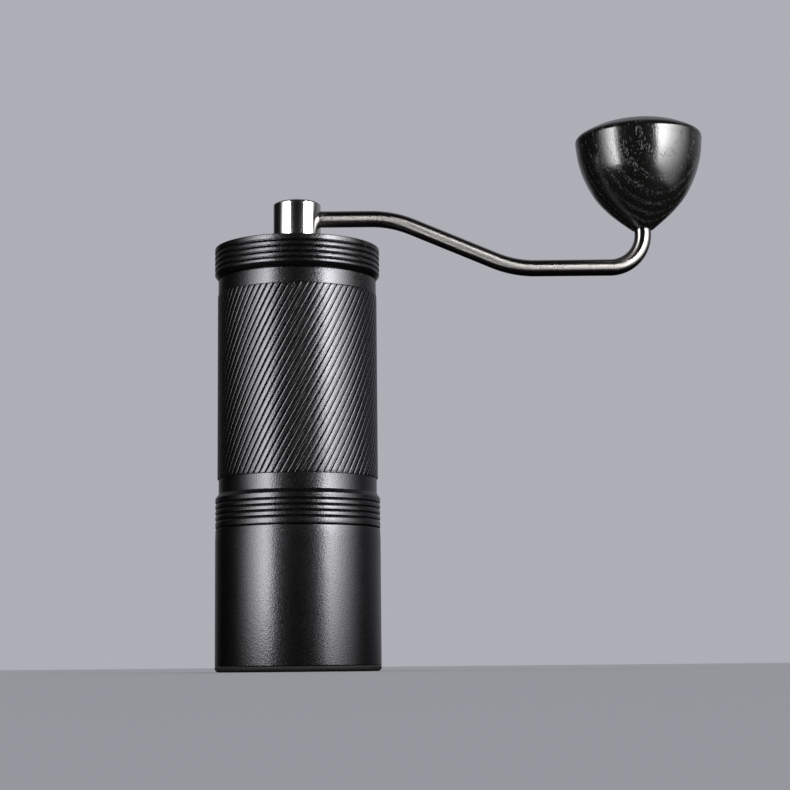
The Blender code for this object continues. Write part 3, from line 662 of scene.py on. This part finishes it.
def knurledRing(radius, height, depth, turnedBy):
    points = []
    for i in range(tube["grooves"]):
        for share, deep in tube["columns"]:
            angle = 2 * pi * (i + share) / tube["grooves"] + turnedBy
            r = radius - depth * deep
            points.append((r * cos(angle), r * sin(angle), height))
    return points


def makeBody():
    low, high = cadHeights("grip_body")
    band, grip, ring = tube["band"], tube["grip"], tube["ringRadius"]
    gripLow, gripHigh = tube["gripLow"], tube["gripHigh"]
    bore, neck, upperBand, shoulder = tube["bore"], tube["neck"], tube["upperBand"], tube["shoulder"]
    above = [(bore, high), (neck, high), (neck, shoulder), (upperBand, shoulder), (upperBand, gripHigh + 0.02)]
    above = eased(above, 0.25, 3, False)
    below = eased([(band, gripLow - 0.02), (band, 56.4), (ring, 54.95), (ring, 54.5)], 0.3, 4, False)
    ribs = ribProfile(tube["ribFirst"], ring)
    foot = [(ring, 46.2), (ring, low), (25.9, low), (25.9, 47.2), (24.4, 47.2), (24.4, 55.6), (bore, 56.4)]
    lowerLedge = [(bore, 84), (19.3, 84), (19.3, 87), (bore, 91)]
    upperLedge = [(bore, 94.5), (21.8, 96), (21.8, 99), (bore, 99)]
    snapGroove = [(bore, 106.5), (24.3, 106.5), (24.3, 107.9), (bore, 107.9)]
    inner = eased([*foot, *lowerLedge, *upperLedge, *snapGroove, (bore, high - 1)], 0.2, 2, False)
    twist = tan(radians(tube["helix"])) / grip
    rows = [(upperBand - 0.02, gripHigh, 0.4), (grip - 0.08, gripHigh - 0.12, 0.85), (grip, gripHigh - 0.4, 1)]
    steps = tube["rows"]
    rows += [(grip, gripHigh - 0.4 - (gripHigh - gripLow - 0.8) * i / steps, 1) for i in range(1, steps)]
    rows += [(grip, gripLow + 0.3, 1), (grip - 0.06, gripLow + 0.1, 0.9), (grip - 0.25, gripLow, 0.5)]
    knurl = [knurledRing(r, z, share * tube["grooveDepth"], twist * (z - gripLow)) for r, z, share in rows]
    top = twist * (gripHigh - gripLow)
    aboveRings = [knurledRing(r, z, 0, top) for r, z in above]
    belowRings = [knurledRing(r, z, 0, 0) for r, z in below + ribs + inner]
    unwound = []
    for i in range(12):  # the bore turns the columns back to where the neck's are
        unwound.append(knurledRing(bore, high - 1 + 0.9 * (i + 1) / 13, 0, top * (i + 1) / 13))
    piece = skin("gripBody", [*aboveRings, *knurl, *belowRings, *unwound])
    settle(smooth(piece, 32), "grip_body", finish["anodised"])


makeBody()
print("body made")


# Lid with its ribbed rim, bush and seal
lid = {
    "radius": cadRadius("lid_cap"),
    "edge": 1.5,
    "skirtBore": 24.95,
    "ceiling": 133.6,
    "boss": 10.0,
    "bossLow": 129.0,
    "bore": 7.0,
    "ribFirst": 129.3,
    "bush": (6.7, 5.3),  # outer and inner radius
    "seal": (24.5, 22.6),
}


def makeLid():
    low, high = cadHeights("lid_cap")
    outer, skirtBore, ceiling = lid["radius"], lid["skirtBore"], lid["ceiling"]
    boss, bossLow, bore = lid["boss"], lid["bossLow"], lid["bore"]
    top = eased([(bore, high), (outer, high), (outer, high - 0.9)], 0.3, 4, False)
    rim = ribProfile(lid["ribFirst"], outer)
    under = [(outer, low + lid["edge"] + 0.5), (outer, low + lid["edge"]), (tube["upperBand"], low),
             (skirtBore, low), (skirtBore, ceiling), (boss, ceiling), (boss, bossLow), (bore, bossLow),
             (bore, high - 0.5)]
    under = eased(under, 0.25, 3, False)
    settle(smooth(lathe("lidCap", top + rim + under, 256)), "lid_cap", finish["anodised"])
    bushLow, bushHigh = cadHeights("lid_bush")
    wide, bore = lid["bush"]
    bush = [(wide, bushHigh), (wide, bushLow), (bore, bushLow), (bore, bushHigh)]
    settle(smooth(lathe("lidBush", eased(bush, 0.3), 96)), "lid_bush", finish["acetal"])
    sealLow, sealHigh = cadHeights("lid_seal")
    wide, bore = lid["seal"]
    seal = [(wide, sealHigh), (wide, sealLow), (bore, sealLow), (bore, sealHigh)]
    settle(smooth(lathe("lidSeal", eased(seal, 0.2), 160)), "lid_seal", finish["silicone"])


makeLid()
print("lid made")


# Crank: hub, bent rod, grub screw and the clip under the lid
crank = {
    "hubRadius": cadRadius("crank_hub"),
    "stub": 5.0,
    "rod": 2.69,
    "high": 146.8,
    "low": 129.85,
    "bends": (31.2, 70.9),
    "easyRadius": 34.0,
    "endRadius": 11.0,
    "journal": (  # the rod's thin end in the knob: height above the tip, and radius
        (1.52, 1.9), (28.76, 1.9), (28.78, 1.5), (29.62, 1.5), (29.64, 1.9), (29.8, 1.9), (30, 1.7),
    ),
    "hubFace": 136.8,
    "clipGroove": (128.5, 127.4),
    "hexSocket": (3.7, 134),  # corner radius and top
    "tapped": 2.0,
}
knobJoint = jointOf["knob_spin"]
knobTip = Vector(knobJoint["pos_m"]) / mm
knobAxis = Vector(knobJoint["axis"]).normalized()


def roundedRoute(corners, radii, stepAngle):  # straight runs joined by arcs
    route = [Vector(corners[0])]
    for before, corner, after, radius in zip(corners, corners[1:], corners[2:], radii):
        corner = Vector(corner)
        into, out = (corner - Vector(before)).normalized(), (Vector(after) - corner).normalized()
        bend = into.angle(out)
        start = corner - into * radius * tan(bend / 2)
        inward = (out - into * into.dot(out)).normalized()
        centre = start + inward * radius
        steps = ceil(bend / radians(stepAngle))
        for i in range(steps + 1):
            angle = bend * i / steps
            route.append(centre + into * radius * sin(angle) - inward * radius * cos(angle))
    return [*route, Vector(corners[-1])]


def armRoute():
    corner = knobTip + knobAxis * ((crank["low"] - knobTip.z) / knobAxis.z)
    high, low = crank["high"], crank["low"]
    corners = [(-3.2, 0, high), (crank["bends"][0], 0, high), (crank["bends"][1], 0, low), corner,
               knobTip + knobAxis * 1.5]
    return roundedRoute(corners, (crank["easyRadius"], crank["easyRadius"], crank["endRadius"]), 2.5)


def makeHub():
    low, high = cadHeights("crank_hub")
    radius, stub, face = crank["hubRadius"], crank["stub"], crank["hubFace"]
    grooveHigh, grooveLow = crank["clipGroove"]
    profile = [(0, high), (radius - 0.7, high), (radius, high - 0.6), (radius, face), (stub, face),
               (stub, grooveHigh), (stub - 0.6, grooveHigh), (stub - 0.6, grooveLow), (stub, grooveLow),
               (stub, low), (0, low)]
    piece = lathe("crankHub", eased(profile, 0.18), 128)
    bore = prism("armBore", crank["rod"] + 0.06, -3.6, 12, 64)
    bore.data.transform(Matrix.Translation((0, 0, crank["high"] * mm)) @ Matrix.Rotation(pi / 2, 4, "Y"))
    corner, socketTop = crank["hexSocket"]
    socket = prism("hexSocket", corner, low - 1, socketTop, 6)
    tapped = prism("screwHole", crank["tapped"], crank["high"], high + 1, 48)
    carve(piece, [bore, socket, tapped])
    settle(smooth(piece, 30), "crank_hub", finish["brightSteel"])


def makeArm():
    route = armRoute()
    radii = [crank["rod"]] * len(route)
    for height, radius in crank["journal"]:
        route.append(knobTip + knobAxis * height)
        radii.append(radius)
    start = route[0] + Vector((0.35, 0, 0))
    route, radii = [route[0], start, *route[1:]], [radii[0] - 0.35, *radii]
    settle(smooth(markAxis(sweep("crankArm", route, radii, 48), route, 48)), "crank_arm", finish["rod"])


def makeGrubScrew():
    low, high = cadHeights("arm_grub_screw")
    profile = [(0, high), (1.5, high), (1.7, high - 0.2), (1.7, low + 0.2), (1.5, low), (0, low)]
    piece = lathe("armGrubScrew", profile, 48)
    carve(piece, [prism("grubSocket", 0.95, high - 0.9, high + 1, 6)])
    settle(smooth(piece, 30), "arm_grub_screw", finish["springSteel"])


def splitRing(name, outer, inner, low, high, gap):  # a flat ring that is open towards +X
    steps = 72
    angles = [radians(gap / 2 + (360 - gap) * i / steps) for i in range(steps + 1)]
    ease = (high - low) * 0.12
    section = ((outer - ease, high), (outer, high - ease), (outer, low + ease), (outer - ease, low),
               (inner + ease, low), (inner, low + ease), (inner, high - ease), (inner + ease, high))
    rings = [[(r * cos(a), r * sin(a), z) for r, z in reversed(section)] for a in angles]
    ends = [[tuple(sum(axis) / len(section) for axis in zip(*ring))] for ring in (rings[0], rings[-1])]
    return skin(name, [ends[0], *rings, ends[1]], False)


def makeClip(name, node, outer, inner, gap):
    low, high = cadHeights(node)
    settle(smooth(splitRing(name, outer, inner, low, high, gap), 30), node, finish["springSteel"])


makeHub()
makeArm()
makeGrubScrew()
makeClip("hubClip", "hub_clip", 6.6, crank["stub"] - 0.35, 60)
print("crank made")


# Knob: turned spinning-top shape on its tilted axis, with its bush
knob = {
    "outline": (
        (0, 36.7), (4, 36.5), (8.5, 35.85), (12.2, 34.95), (15.4, 33.85), (18.8, 32.2), (20.2, 31.2),
        (20.68, 30.3), (20.7, 29.3), (20.54, 27.8), (20.3, 25.5), (19.75, 22.5), (18.55, 18.5),
        (16.8, 14.5), (14.5, 10.5), (11.05, 6.5), (7.2, 3), (3.45, 0),
    ),
    "bore": 3.0,
    "boreTop": 31.2,
    "bush": (2.7, 2.15, 2.0, 28.6),  # outer and inner radius, bottom and top
    "clip": (2.65, 1.75, 28.95, 29.45, 60),  # the same, and the gap in degrees
}


def smoothLine(points, steps):  # a Catmull-Rom curve through the points
    ends = [points[0], *points, points[-1]]
    line = []
    for a, b, c, d in zip(ends, ends[1:], ends[2:], ends[3:]):
        for i in range(steps):
            t = i / steps
            line.append(tuple(
                0.5 * (2 * q + (r - p) * t + (2 * p - 5 * q + 4 * r - s) * t**2
                       + (3 * q - p - 3 * r + s) * t**3)
                for p, q, r, s in zip(a, b, c, d)))
    return [*line, points[-1]]


def onKnobAxis(piece):  # moves a piece made at the origin to the knob's tip and along its axis
    turnTo = Vector((0, 0, 1)).rotation_difference(knobAxis).to_matrix().to_4x4()
    piece.matrix_world = Matrix.Translation(knobTip * mm) @ turnTo
    return piece


def makeKnob():
    outside = smoothLine(knob["outline"], 5)
    tip = [(3.4, 0.0), (3.1, 0.0), (3.0, 0.15)]
    profile = [*outside[:-1], *tip, (knob["bore"], knob["boreTop"]), (0, knob["boreTop"])]
    settle(onKnobAxis(smooth(lathe("turnedKnob", profile, 192))), "knob", finish["wood"])
    wide, bore, low, high = knob["bush"]
    bush = eased([(wide, high), (wide, low), (bore, low), (bore, high)], 0.15)
    settle(onKnobAxis(smooth(lathe("knobBush", bush, 48))), "knob_bush", finish["brass"])
    clip = smooth(splitRing("knobClip", *knob["clip"]), 30)
    settle(onKnobAxis(clip), "knob_clip", finish["springSteel"])


makeKnob()
print("knob made")


# Inside: ball bearings
bearing = {
    "outer": (7.5, 6.4),
    "inner": (4.2, 3.3),
    "shield": (6.1, 4.5),
    "width": 5.0,
    "pitch": 5.3,
    "ball": 0.9,
    "balls": 7,
    "bottoms": {"upper": 100.3, "lower": 77.8},
    "race": ((-0.65, 0), (-0.4, 0.13), (0, 0.18), (0.4, 0.13), (0.65, 0)),
}


def joined(name, pieces):  # several closed meshes as one piece
    bm = bmesh.new()
    for piece in pieces:
        bm.from_mesh(piece.data)
        bpy.data.objects.remove(piece)
    return fromMesh(name, bm)


def ballAt(name, centre, radius):
    bm = bmesh.new()
    bmesh.ops.create_uvsphere(bm, u_segments=28, v_segments=18, radius=radius * mm)
    bmesh.ops.translate(bm, verts=bm.verts, vec=Vector(centre) * mm)
    return fromMesh(name, bm)


def makeBearing(prefix, bottom):
    top, middle = bottom + bearing["width"], bottom + bearing["width"] / 2
    wide, bore = bearing["outer"]
    race = [(bore + deep, middle + along) for along, deep in bearing["race"]]
    ring = eased([(wide, top), (wide, bottom), (bore, bottom), *race, (bore, top)], 0.18)
    piece = smooth(lathe(f"{prefix}OuterRing", ring, 96), 25)
    settle(piece, f"{prefix}_bearing_outer_ring", finish["bearingSteel"])
    wide, bore = bearing["inner"]
    race = [(wide - deep, middle - along) for along, deep in bearing["race"]]
    ring = eased([(wide, top), *race, (wide, bottom), (bore, bottom), (bore, top)], 0.14)
    piece = smooth(lathe(f"{prefix}InnerRing", ring, 96), 25)
    settle(piece, f"{prefix}_bearing_inner_ring", finish["bearingSteel"])
    wide, bore = bearing["shield"]
    for side, inner, outer in (("bottom", bottom + 0.5, bottom + 0.2), ("top", top - 0.5, top - 0.2)):
        dish = outer + (inner - outer) * 0.4
        plate = [(bore, inner), (wide, inner), (wide, outer), (wide - 0.35, outer), (wide - 0.45, dish),
                 (bore + 0.4, dish), (bore + 0.3, outer), (bore, outer)]
        plate = plate if side == "top" else plate[::-1]
        piece = lathe(f"{prefix}Shield{side.title()}", eased(plate[::-1], 0.04, 2), 96)
        settle(smooth(piece, 25), f"{prefix}_bearing_shield_{side}", finish["springSteel"])
    pitch = bearing["pitch"]
    cage = [(pitch + 0.2, middle + 0.3), (pitch + 0.2, middle - 0.3),
            (pitch - 0.2, middle - 0.3), (pitch - 0.2, middle + 0.3)]
    places = circle(pitch, middle, bearing["balls"])
    balls = [ballAt(f"{prefix}Ball{i}", place, bearing["ball"]) for i, place in enumerate(places)]
    whole = joined(f"{prefix}Balls", [lathe(f"{prefix}Cage", eased(cage, 0.08, 2), 84), *balls])
    settle(smooth(whole, 35), f"{prefix}_bearing_balls", finish["bearingSteel"])


for prefix, bottom in bearing["bottoms"].items():
    makeBearing(prefix, bottom)
print("bearings made")


# Inside: the two three-armed holders of the bearings, with their ring and screws
holder = {
    "rim": 22.9,
    "seat": 10.2,
    "seatBore": 7.8,
    "lipBore": 6.6,
    "armFrom": 9.2,
    "armWidth": 3.4,
    "armTurns": (90, 210, 330),
    "screwCircle": 20.9,
    "screwTurns": (30, 150, 270),
}


def spider(name, rim, bottom, armLow, armHigh, reach):
    top, lip, half = bottom + bearing["width"] + 0.6, bottom - 0.3, holder["armWidth"] / 2
    wide, seatBore, lipBore = holder["seat"], holder["seatBore"], holder["lipBore"]
    seat = [(wide, top), (wide, lip - 1), (lipBore, lip - 1), (lipBore, lip), (seatBore, lip), (seatBore, top)]
    piece = lathe(name, eased(rim, 0.3), 160)
    arms = []
    for turn in holder["armTurns"]:
        start, end = (holder["armFrom"], -half, armLow), (reach, half, armHigh)
        arms.append(easedBox(f"{name}Arm{turn}", start, end, 0.35, turn))
    return carve(piece, [lathe(f"{name}Seat", eased(seat, 0.3), 112), *arms], "UNION")


def makeHolders():
    rim = holder["rim"]
    low, high = cadHeights("upper_bearing_bridge")
    profile = [(rim, high), (rim, 99.3), (rim - 2.2, 99.3), (rim - 2.2, high)]
    bridge = spider("upperBridge", profile, bearing["bottoms"]["upper"], 99.7, 105.3, 21.8)
    settle(smooth(bridge, 30), "upper_bearing_bridge", finish["machined"])
    low, high = cadHeights("bridge_snap_ring")
    ring = splitRing("bridgeSnapRing", 23.9, 21.7, low, high, 34)
    settle(smooth(ring, 30), "bridge_snap_ring", finish["springSteel"])
    profile = [(rim, 83.7), (rim, 58.6), (18.8, 58.6), (18.8, 73), (17.8, 73), (17.8, 83.7)]
    carrier = spider("burrCarrier", profile, bearing["bottoms"]["lower"], 77.4, 83, 19.4)
    reach = holder["screwCircle"]
    places = [(reach * cos(radians(a)), reach * sin(radians(a))) for a in holder["screwTurns"]]
    carve(carrier, [prism(f"carrierHole{i}", 1.4, 57, 85, 32, x, y) for i, (x, y) in enumerate(places)])
    settle(smooth(carrier, 30), "burr_carrier", finish["machined"])
    for i, (x, y) in enumerate(places, 1):
        thread = [(1.1 if k % 2 else 0.95, 87.2 - 0.2 * k) for k in range(20)]
        head = [(1.1, 58.3), (1.9, 58.3), (2.1, 58.1), (2.1, 56.7), (1.9, 56.5), (0, 56.5)]
        profile = [(0, 87.8), (0.8, 87.8), (0.95, 87.5), *thread, *head]
        screw = carve(lathe(f"carrierScrew{i}", profile, 40), [prism("screwSocket", 1.05, 56, 57.6, 6)])
        screw.data.transform(Matrix.Translation(Vector((x, y, 0)) * mm))
        settle(smooth(screw, 30), f"carrier_screw_{i}", finish["springSteel"])


makeHolders()
print("holders made")


# Inside: the two burrs, with coarse teeth that run into fine ones
burr = {
    "teeth": (9, 27),
    "segments": 270,
    "twist": 38.0,
    "span": (57.9, 73.4),
    "ring": (  # height, radius, coarse depth, fine depth
        (58.6, 16.75, 0, 0.3), (60.6, 15.85, 0, 0.5), (63.2, 14.9, 0.5, 0.3), (67.5, 15.2, 1.1, 0),
        (72.7, 16.2, 1.3, 0),
    ),
    "cone": (
        (73.4, 7.4, 0.4, 0), (70, 9.9, 1.2, 0), (66, 12.6, 1.2, 0), (62.6, 14.5, 0.7, 0.3),
        (60.4, 15.5, 0, 0.5), (58.6, 16.35, 0, 0.3),
    ),
    "ringOutside": ((18.2, 72.7), (18.5, 72.4), (18.5, 58.9), (18.2, 58.6)),  # radius, height
    "coneFoot": (16, 57.9),
    "keyedTop": 64.2,
    "springBore": ((5.3, 64.3), (5.3, 73.2), (5.5, 73.4)),
    "keyed": (3.35, 2.75),  # radius, and the flats' distance from the axis
}


def toothedRings(rows, hand, steps=5):  # loops of points, with more of them between the rows
    low, high = burr["span"]
    dense = []
    for upper, lower in zip(rows, rows[1:]):
        dense += [[a + (b - a) * i / steps for a, b in zip(upper, lower)] for i in range(steps)]
    rings = []
    for height, radius, coarse, fine in [*dense, rows[-1]]:
        by = radians(burr["twist"]) * (height - low) / (high - low)
        ring = []
        for k in range(burr["segments"]):
            angle = 2 * pi * k / burr["segments"]
            around = (angle + by) / (2 * pi)
            cut = sum(deep * (around * count % 1) for deep, count in zip((coarse, fine), burr["teeth"]))
            ring.append(((radius + hand * cut) * cos(angle), (radius + hand * cut) * sin(angle), height))
        rings.append(ring)
    return rings


def keyedBore(height, steps):  # a round bore with two flats
    angles = [2 * pi * i / steps for i in range(steps)]
    radius, flat = burr["keyed"]
    sizes = [min(radius, flat / max(abs(cos(a)), 0.01)) for a in angles]
    return [(r * cos(a), r * sin(a), height) for r, a in zip(sizes, angles)]


def makeBurrs():
    steps = burr["segments"]
    outside = [circle(r, z, steps) for r, z in burr["ringOutside"]]
    piece = skin("ringBurr", outside + toothedRings(burr["ring"], 1))
    settle(smooth(piece, 24), "ring_burr", finish["burrSteel"])
    foot, bottom = burr["coneFoot"]
    bore = [keyedBore(bottom, steps), keyedBore(burr["keyedTop"], steps)]
    bore += [circle(r, z, steps) for r, z in burr["springBore"]]
    cone = toothedRings(burr["cone"], -1) + [circle(foot, bottom, steps)] + bore
    settle(smooth(skin("coneBurr", cone), 24), "cone_burr", finish["burrSteel"])


makeBurrs()
print("burrs made")


# Inside: spindle with its clip, washer, spring and end screw
spindle = {
    "radius": 3.0,
    "high": 118.5,
    "low": 47.0,
    "clipGroove": (2.5, 106.7, 105.6),  # radius, top, bottom
    "tapped": (1.5, 52.6),
    "hexagon": (3.3, 117.5, 133.2),  # corner radius, bottom, top
    "flatCut": ((2.4, -4, 53.2), (5, 4, 75.4)),
    "clip": (5.0, 2.75, 60),
    "wave": 0.15,
    "washer": (  # radius, and height from its middle
        (4.8, 0.13), (4.9, 0.05), (4.9, -0.05), (4.8, -0.13),
        (3.4, -0.13), (3.3, -0.05), (3.3, 0.05), (3.4, 0.13),
    ),
    "coil": (4.3, 65.12, 76.08, 5),  # radius, bottom, top, turns
    "wire": 0.42,
}


def coilRoute(radius, low, high, turns, perTurn, x=0.0):
    count = ceil(turns * perTurn)
    route = []
    for i in range(count + 1):
        a = 2 * pi * turns * i / count
        route.append((x + radius * cos(a), radius * sin(a), low + (high - low) * i / count))
    return route


def makeSpindle():
    shaft, high, low = spindle["radius"], spindle["high"], spindle["low"]
    groove, grooveHigh, grooveLow = spindle["clipGroove"]
    tapped, tappedTop = spindle["tapped"]
    profile = [(0, high), (shaft, high), (shaft, grooveHigh), (groove, grooveHigh), (groove, grooveLow),
               (shaft, grooveLow), (shaft, low + 0.2), (shaft - 0.2, low), (tapped, low),
               (tapped, tappedTop), (0, tappedTop)]
    piece = lathe("spindle", eased(profile, 0.12, 2), 96)
    hexagon = prism("spindleHexagon", *spindle["hexagon"], 6)
    carve(piece, [hexagon], "UNION")
    carve(piece, [easedBox(f"spindleFlat{turn}", *spindle["flatCut"], 0.1, turn) for turn in (0, 180)])
    settle(smooth(piece, 28), "spindle", finish["springSteel"])
    makeClip("spindleClip", "spindle_clip", *spindle["clip"])
    low, high = cadHeights("spring_washer")
    steps = 96
    waves = [spindle["wave"] * sin(3 * 2 * pi * i / steps) for i in range(steps)]
    washer = []
    for radius, height in spindle["washer"]:
        ring = circle(radius, (low + high) / 2 + height, steps)
        washer.append([(x, y, z + wave) for (x, y, z), wave in zip(ring, waves)])
    settle(smooth(skin("springWasher", washer), 30), "spring_washer", finish["springSteel"])
    route = coilRoute(*spindle["coil"], 48)
    piece = sweep("burrSpring", route, [spindle["wire"]] * len(route), 14)
    settle(smooth(piece, 60), "burr_spring", finish["springSteel"])
    thread = [(1.2 if k % 2 else 1.05, 51.3 - 0.2 * k) for k in range(20)]
    head = [(1.2, 46.7), (2.8, 46.7), (3, 46.5), (3, 45.1), (2.6, 44.7), (0, 44.7)]
    screw = [(0, 51.8), (1, 51.8), (1.2, 51.6), *thread, *head]
    piece = carve(lathe("endScrew", screw, 64), [prism("endSocket", 1.45, 44, 45.9, 6)])
    settle(smooth(piece, 30), "end_screw", finish["springSteel"])


makeSpindle()
print("spindle made")


# Inside: the dial of the grind setting and its click plate
adjuster = {
    "segments": 288,
    "plate": (54.8, 57.6),  # bottom and top
    "detents": (8, -8),
    "detentHole": 1.25,
    "ball": (0.9, 55.4),  # radius and height
    "coil": (0.6, 56.52, 57.43, 2.5),
    "wire": 0.12,
    "dial": 12.3,
    "scallop": 0.7,
    "dimples": (12, 1.25),
}


def makeAdjuster():
    steps = adjuster["segments"]
    low, high = adjuster["plate"]
    rings = [circle(r, z, steps) for r, z in ((10.8, high), (11, high - 0.2), (11, low + 0.5), (10.5, low))]
    rings += [keyedBore(low, steps), keyedBore(high, steps)]
    holes = [prism(f"detentHole{x}", adjuster["detentHole"], 54, 59, 40, x) for x in adjuster["detents"]]
    settle(smooth(carve(skin("clickPlate", rings), holes), 30), "click_plate", finish["brass"])
    radius, height = adjuster["ball"]
    for i, x in enumerate(adjuster["detents"], 1):
        ball = ballAt(f"detentBall{i}", (x, 0, height), radius)
        settle(smooth(ball), f"detent_ball_{i}", finish["bearingSteel"])
        route = coilRoute(*adjuster["coil"], 28, x)
        spring = sweep(f"detentSpring{i}", route, [adjuster["wire"]] * len(route), 10)
        settle(smooth(spring, 60), f"detent_spring_{i}", finish["springSteel"])
    angles = [2 * pi * i / steps for i in range(steps)]
    low, high = cadHeights("adjuster_dial")
    rim = [(adjuster["dial"] - adjuster["scallop"] * abs(sin(a * 6)) ** 4, a) for a in angles]

    def scallop(inset, z):
        return [((r - inset) * cos(a), (r - inset) * sin(a), z) for r, a in rim]

    rings = [circle(11.3, high, steps), scallop(0.12, high - 0.5), scallop(0, high - 0.7),
             scallop(0, low + 0.7), scallop(0.12, low + 0.5)]
    under = ((11.3, low), (9.6, low), (9.3, low + 0.4), (5.6, low + 0.4), (5.3, low), (3.7, low),
             (3.4, low + 0.3), (3.4, high))
    rings += [circle(r, z, steps) for r, z in under]
    count, radius = adjuster["dimples"]
    places = circle(adjuster["detents"][0], high, count)
    dimples = [ballAt(f"dimple{i}", (x, y, high + 0.75), radius) for i, (x, y, z) in enumerate(places)]
    settle(smooth(carve(skin("adjusterDial", rings), dimples), 30), "adjuster_dial", finish["brass"])


makeAdjuster()
print("adjuster made")


# Floor
def makeFloor():
    half = studio["floorHalf"] * mm
    mesh = bpy.data.meshes.new("floor")
    corners = [(-half, -half, 0), (half, -half, 0), (half, half, 0), (-half, half, 0)]
    mesh.from_pydata(corners, [], [(0, 1, 2, 3)])
    floor = placed("floor", mesh)
    material, _, shader = newFinish("floorPaper")
    shader.inputs["Base Color"].default_value = (*studio["floor"], 1)
    shader.inputs["Roughness"].default_value = studio["floorRough"]
    mesh.materials.append(material)
    floor.visible_glossy = floor.visible_shadow = False
    unlit = bpy.data.collections.new("unlitFloor")  # the room alone lights it, not the softboxes
    unlit.objects.link(floor)
    unlit.collection_objects[0].light_linking.link_state = "EXCLUDE"
    for light in bpy.data.objects:
        if light.type == "LIGHT":
            light.light_linking.receiver_collection = unlit


makeFloor()
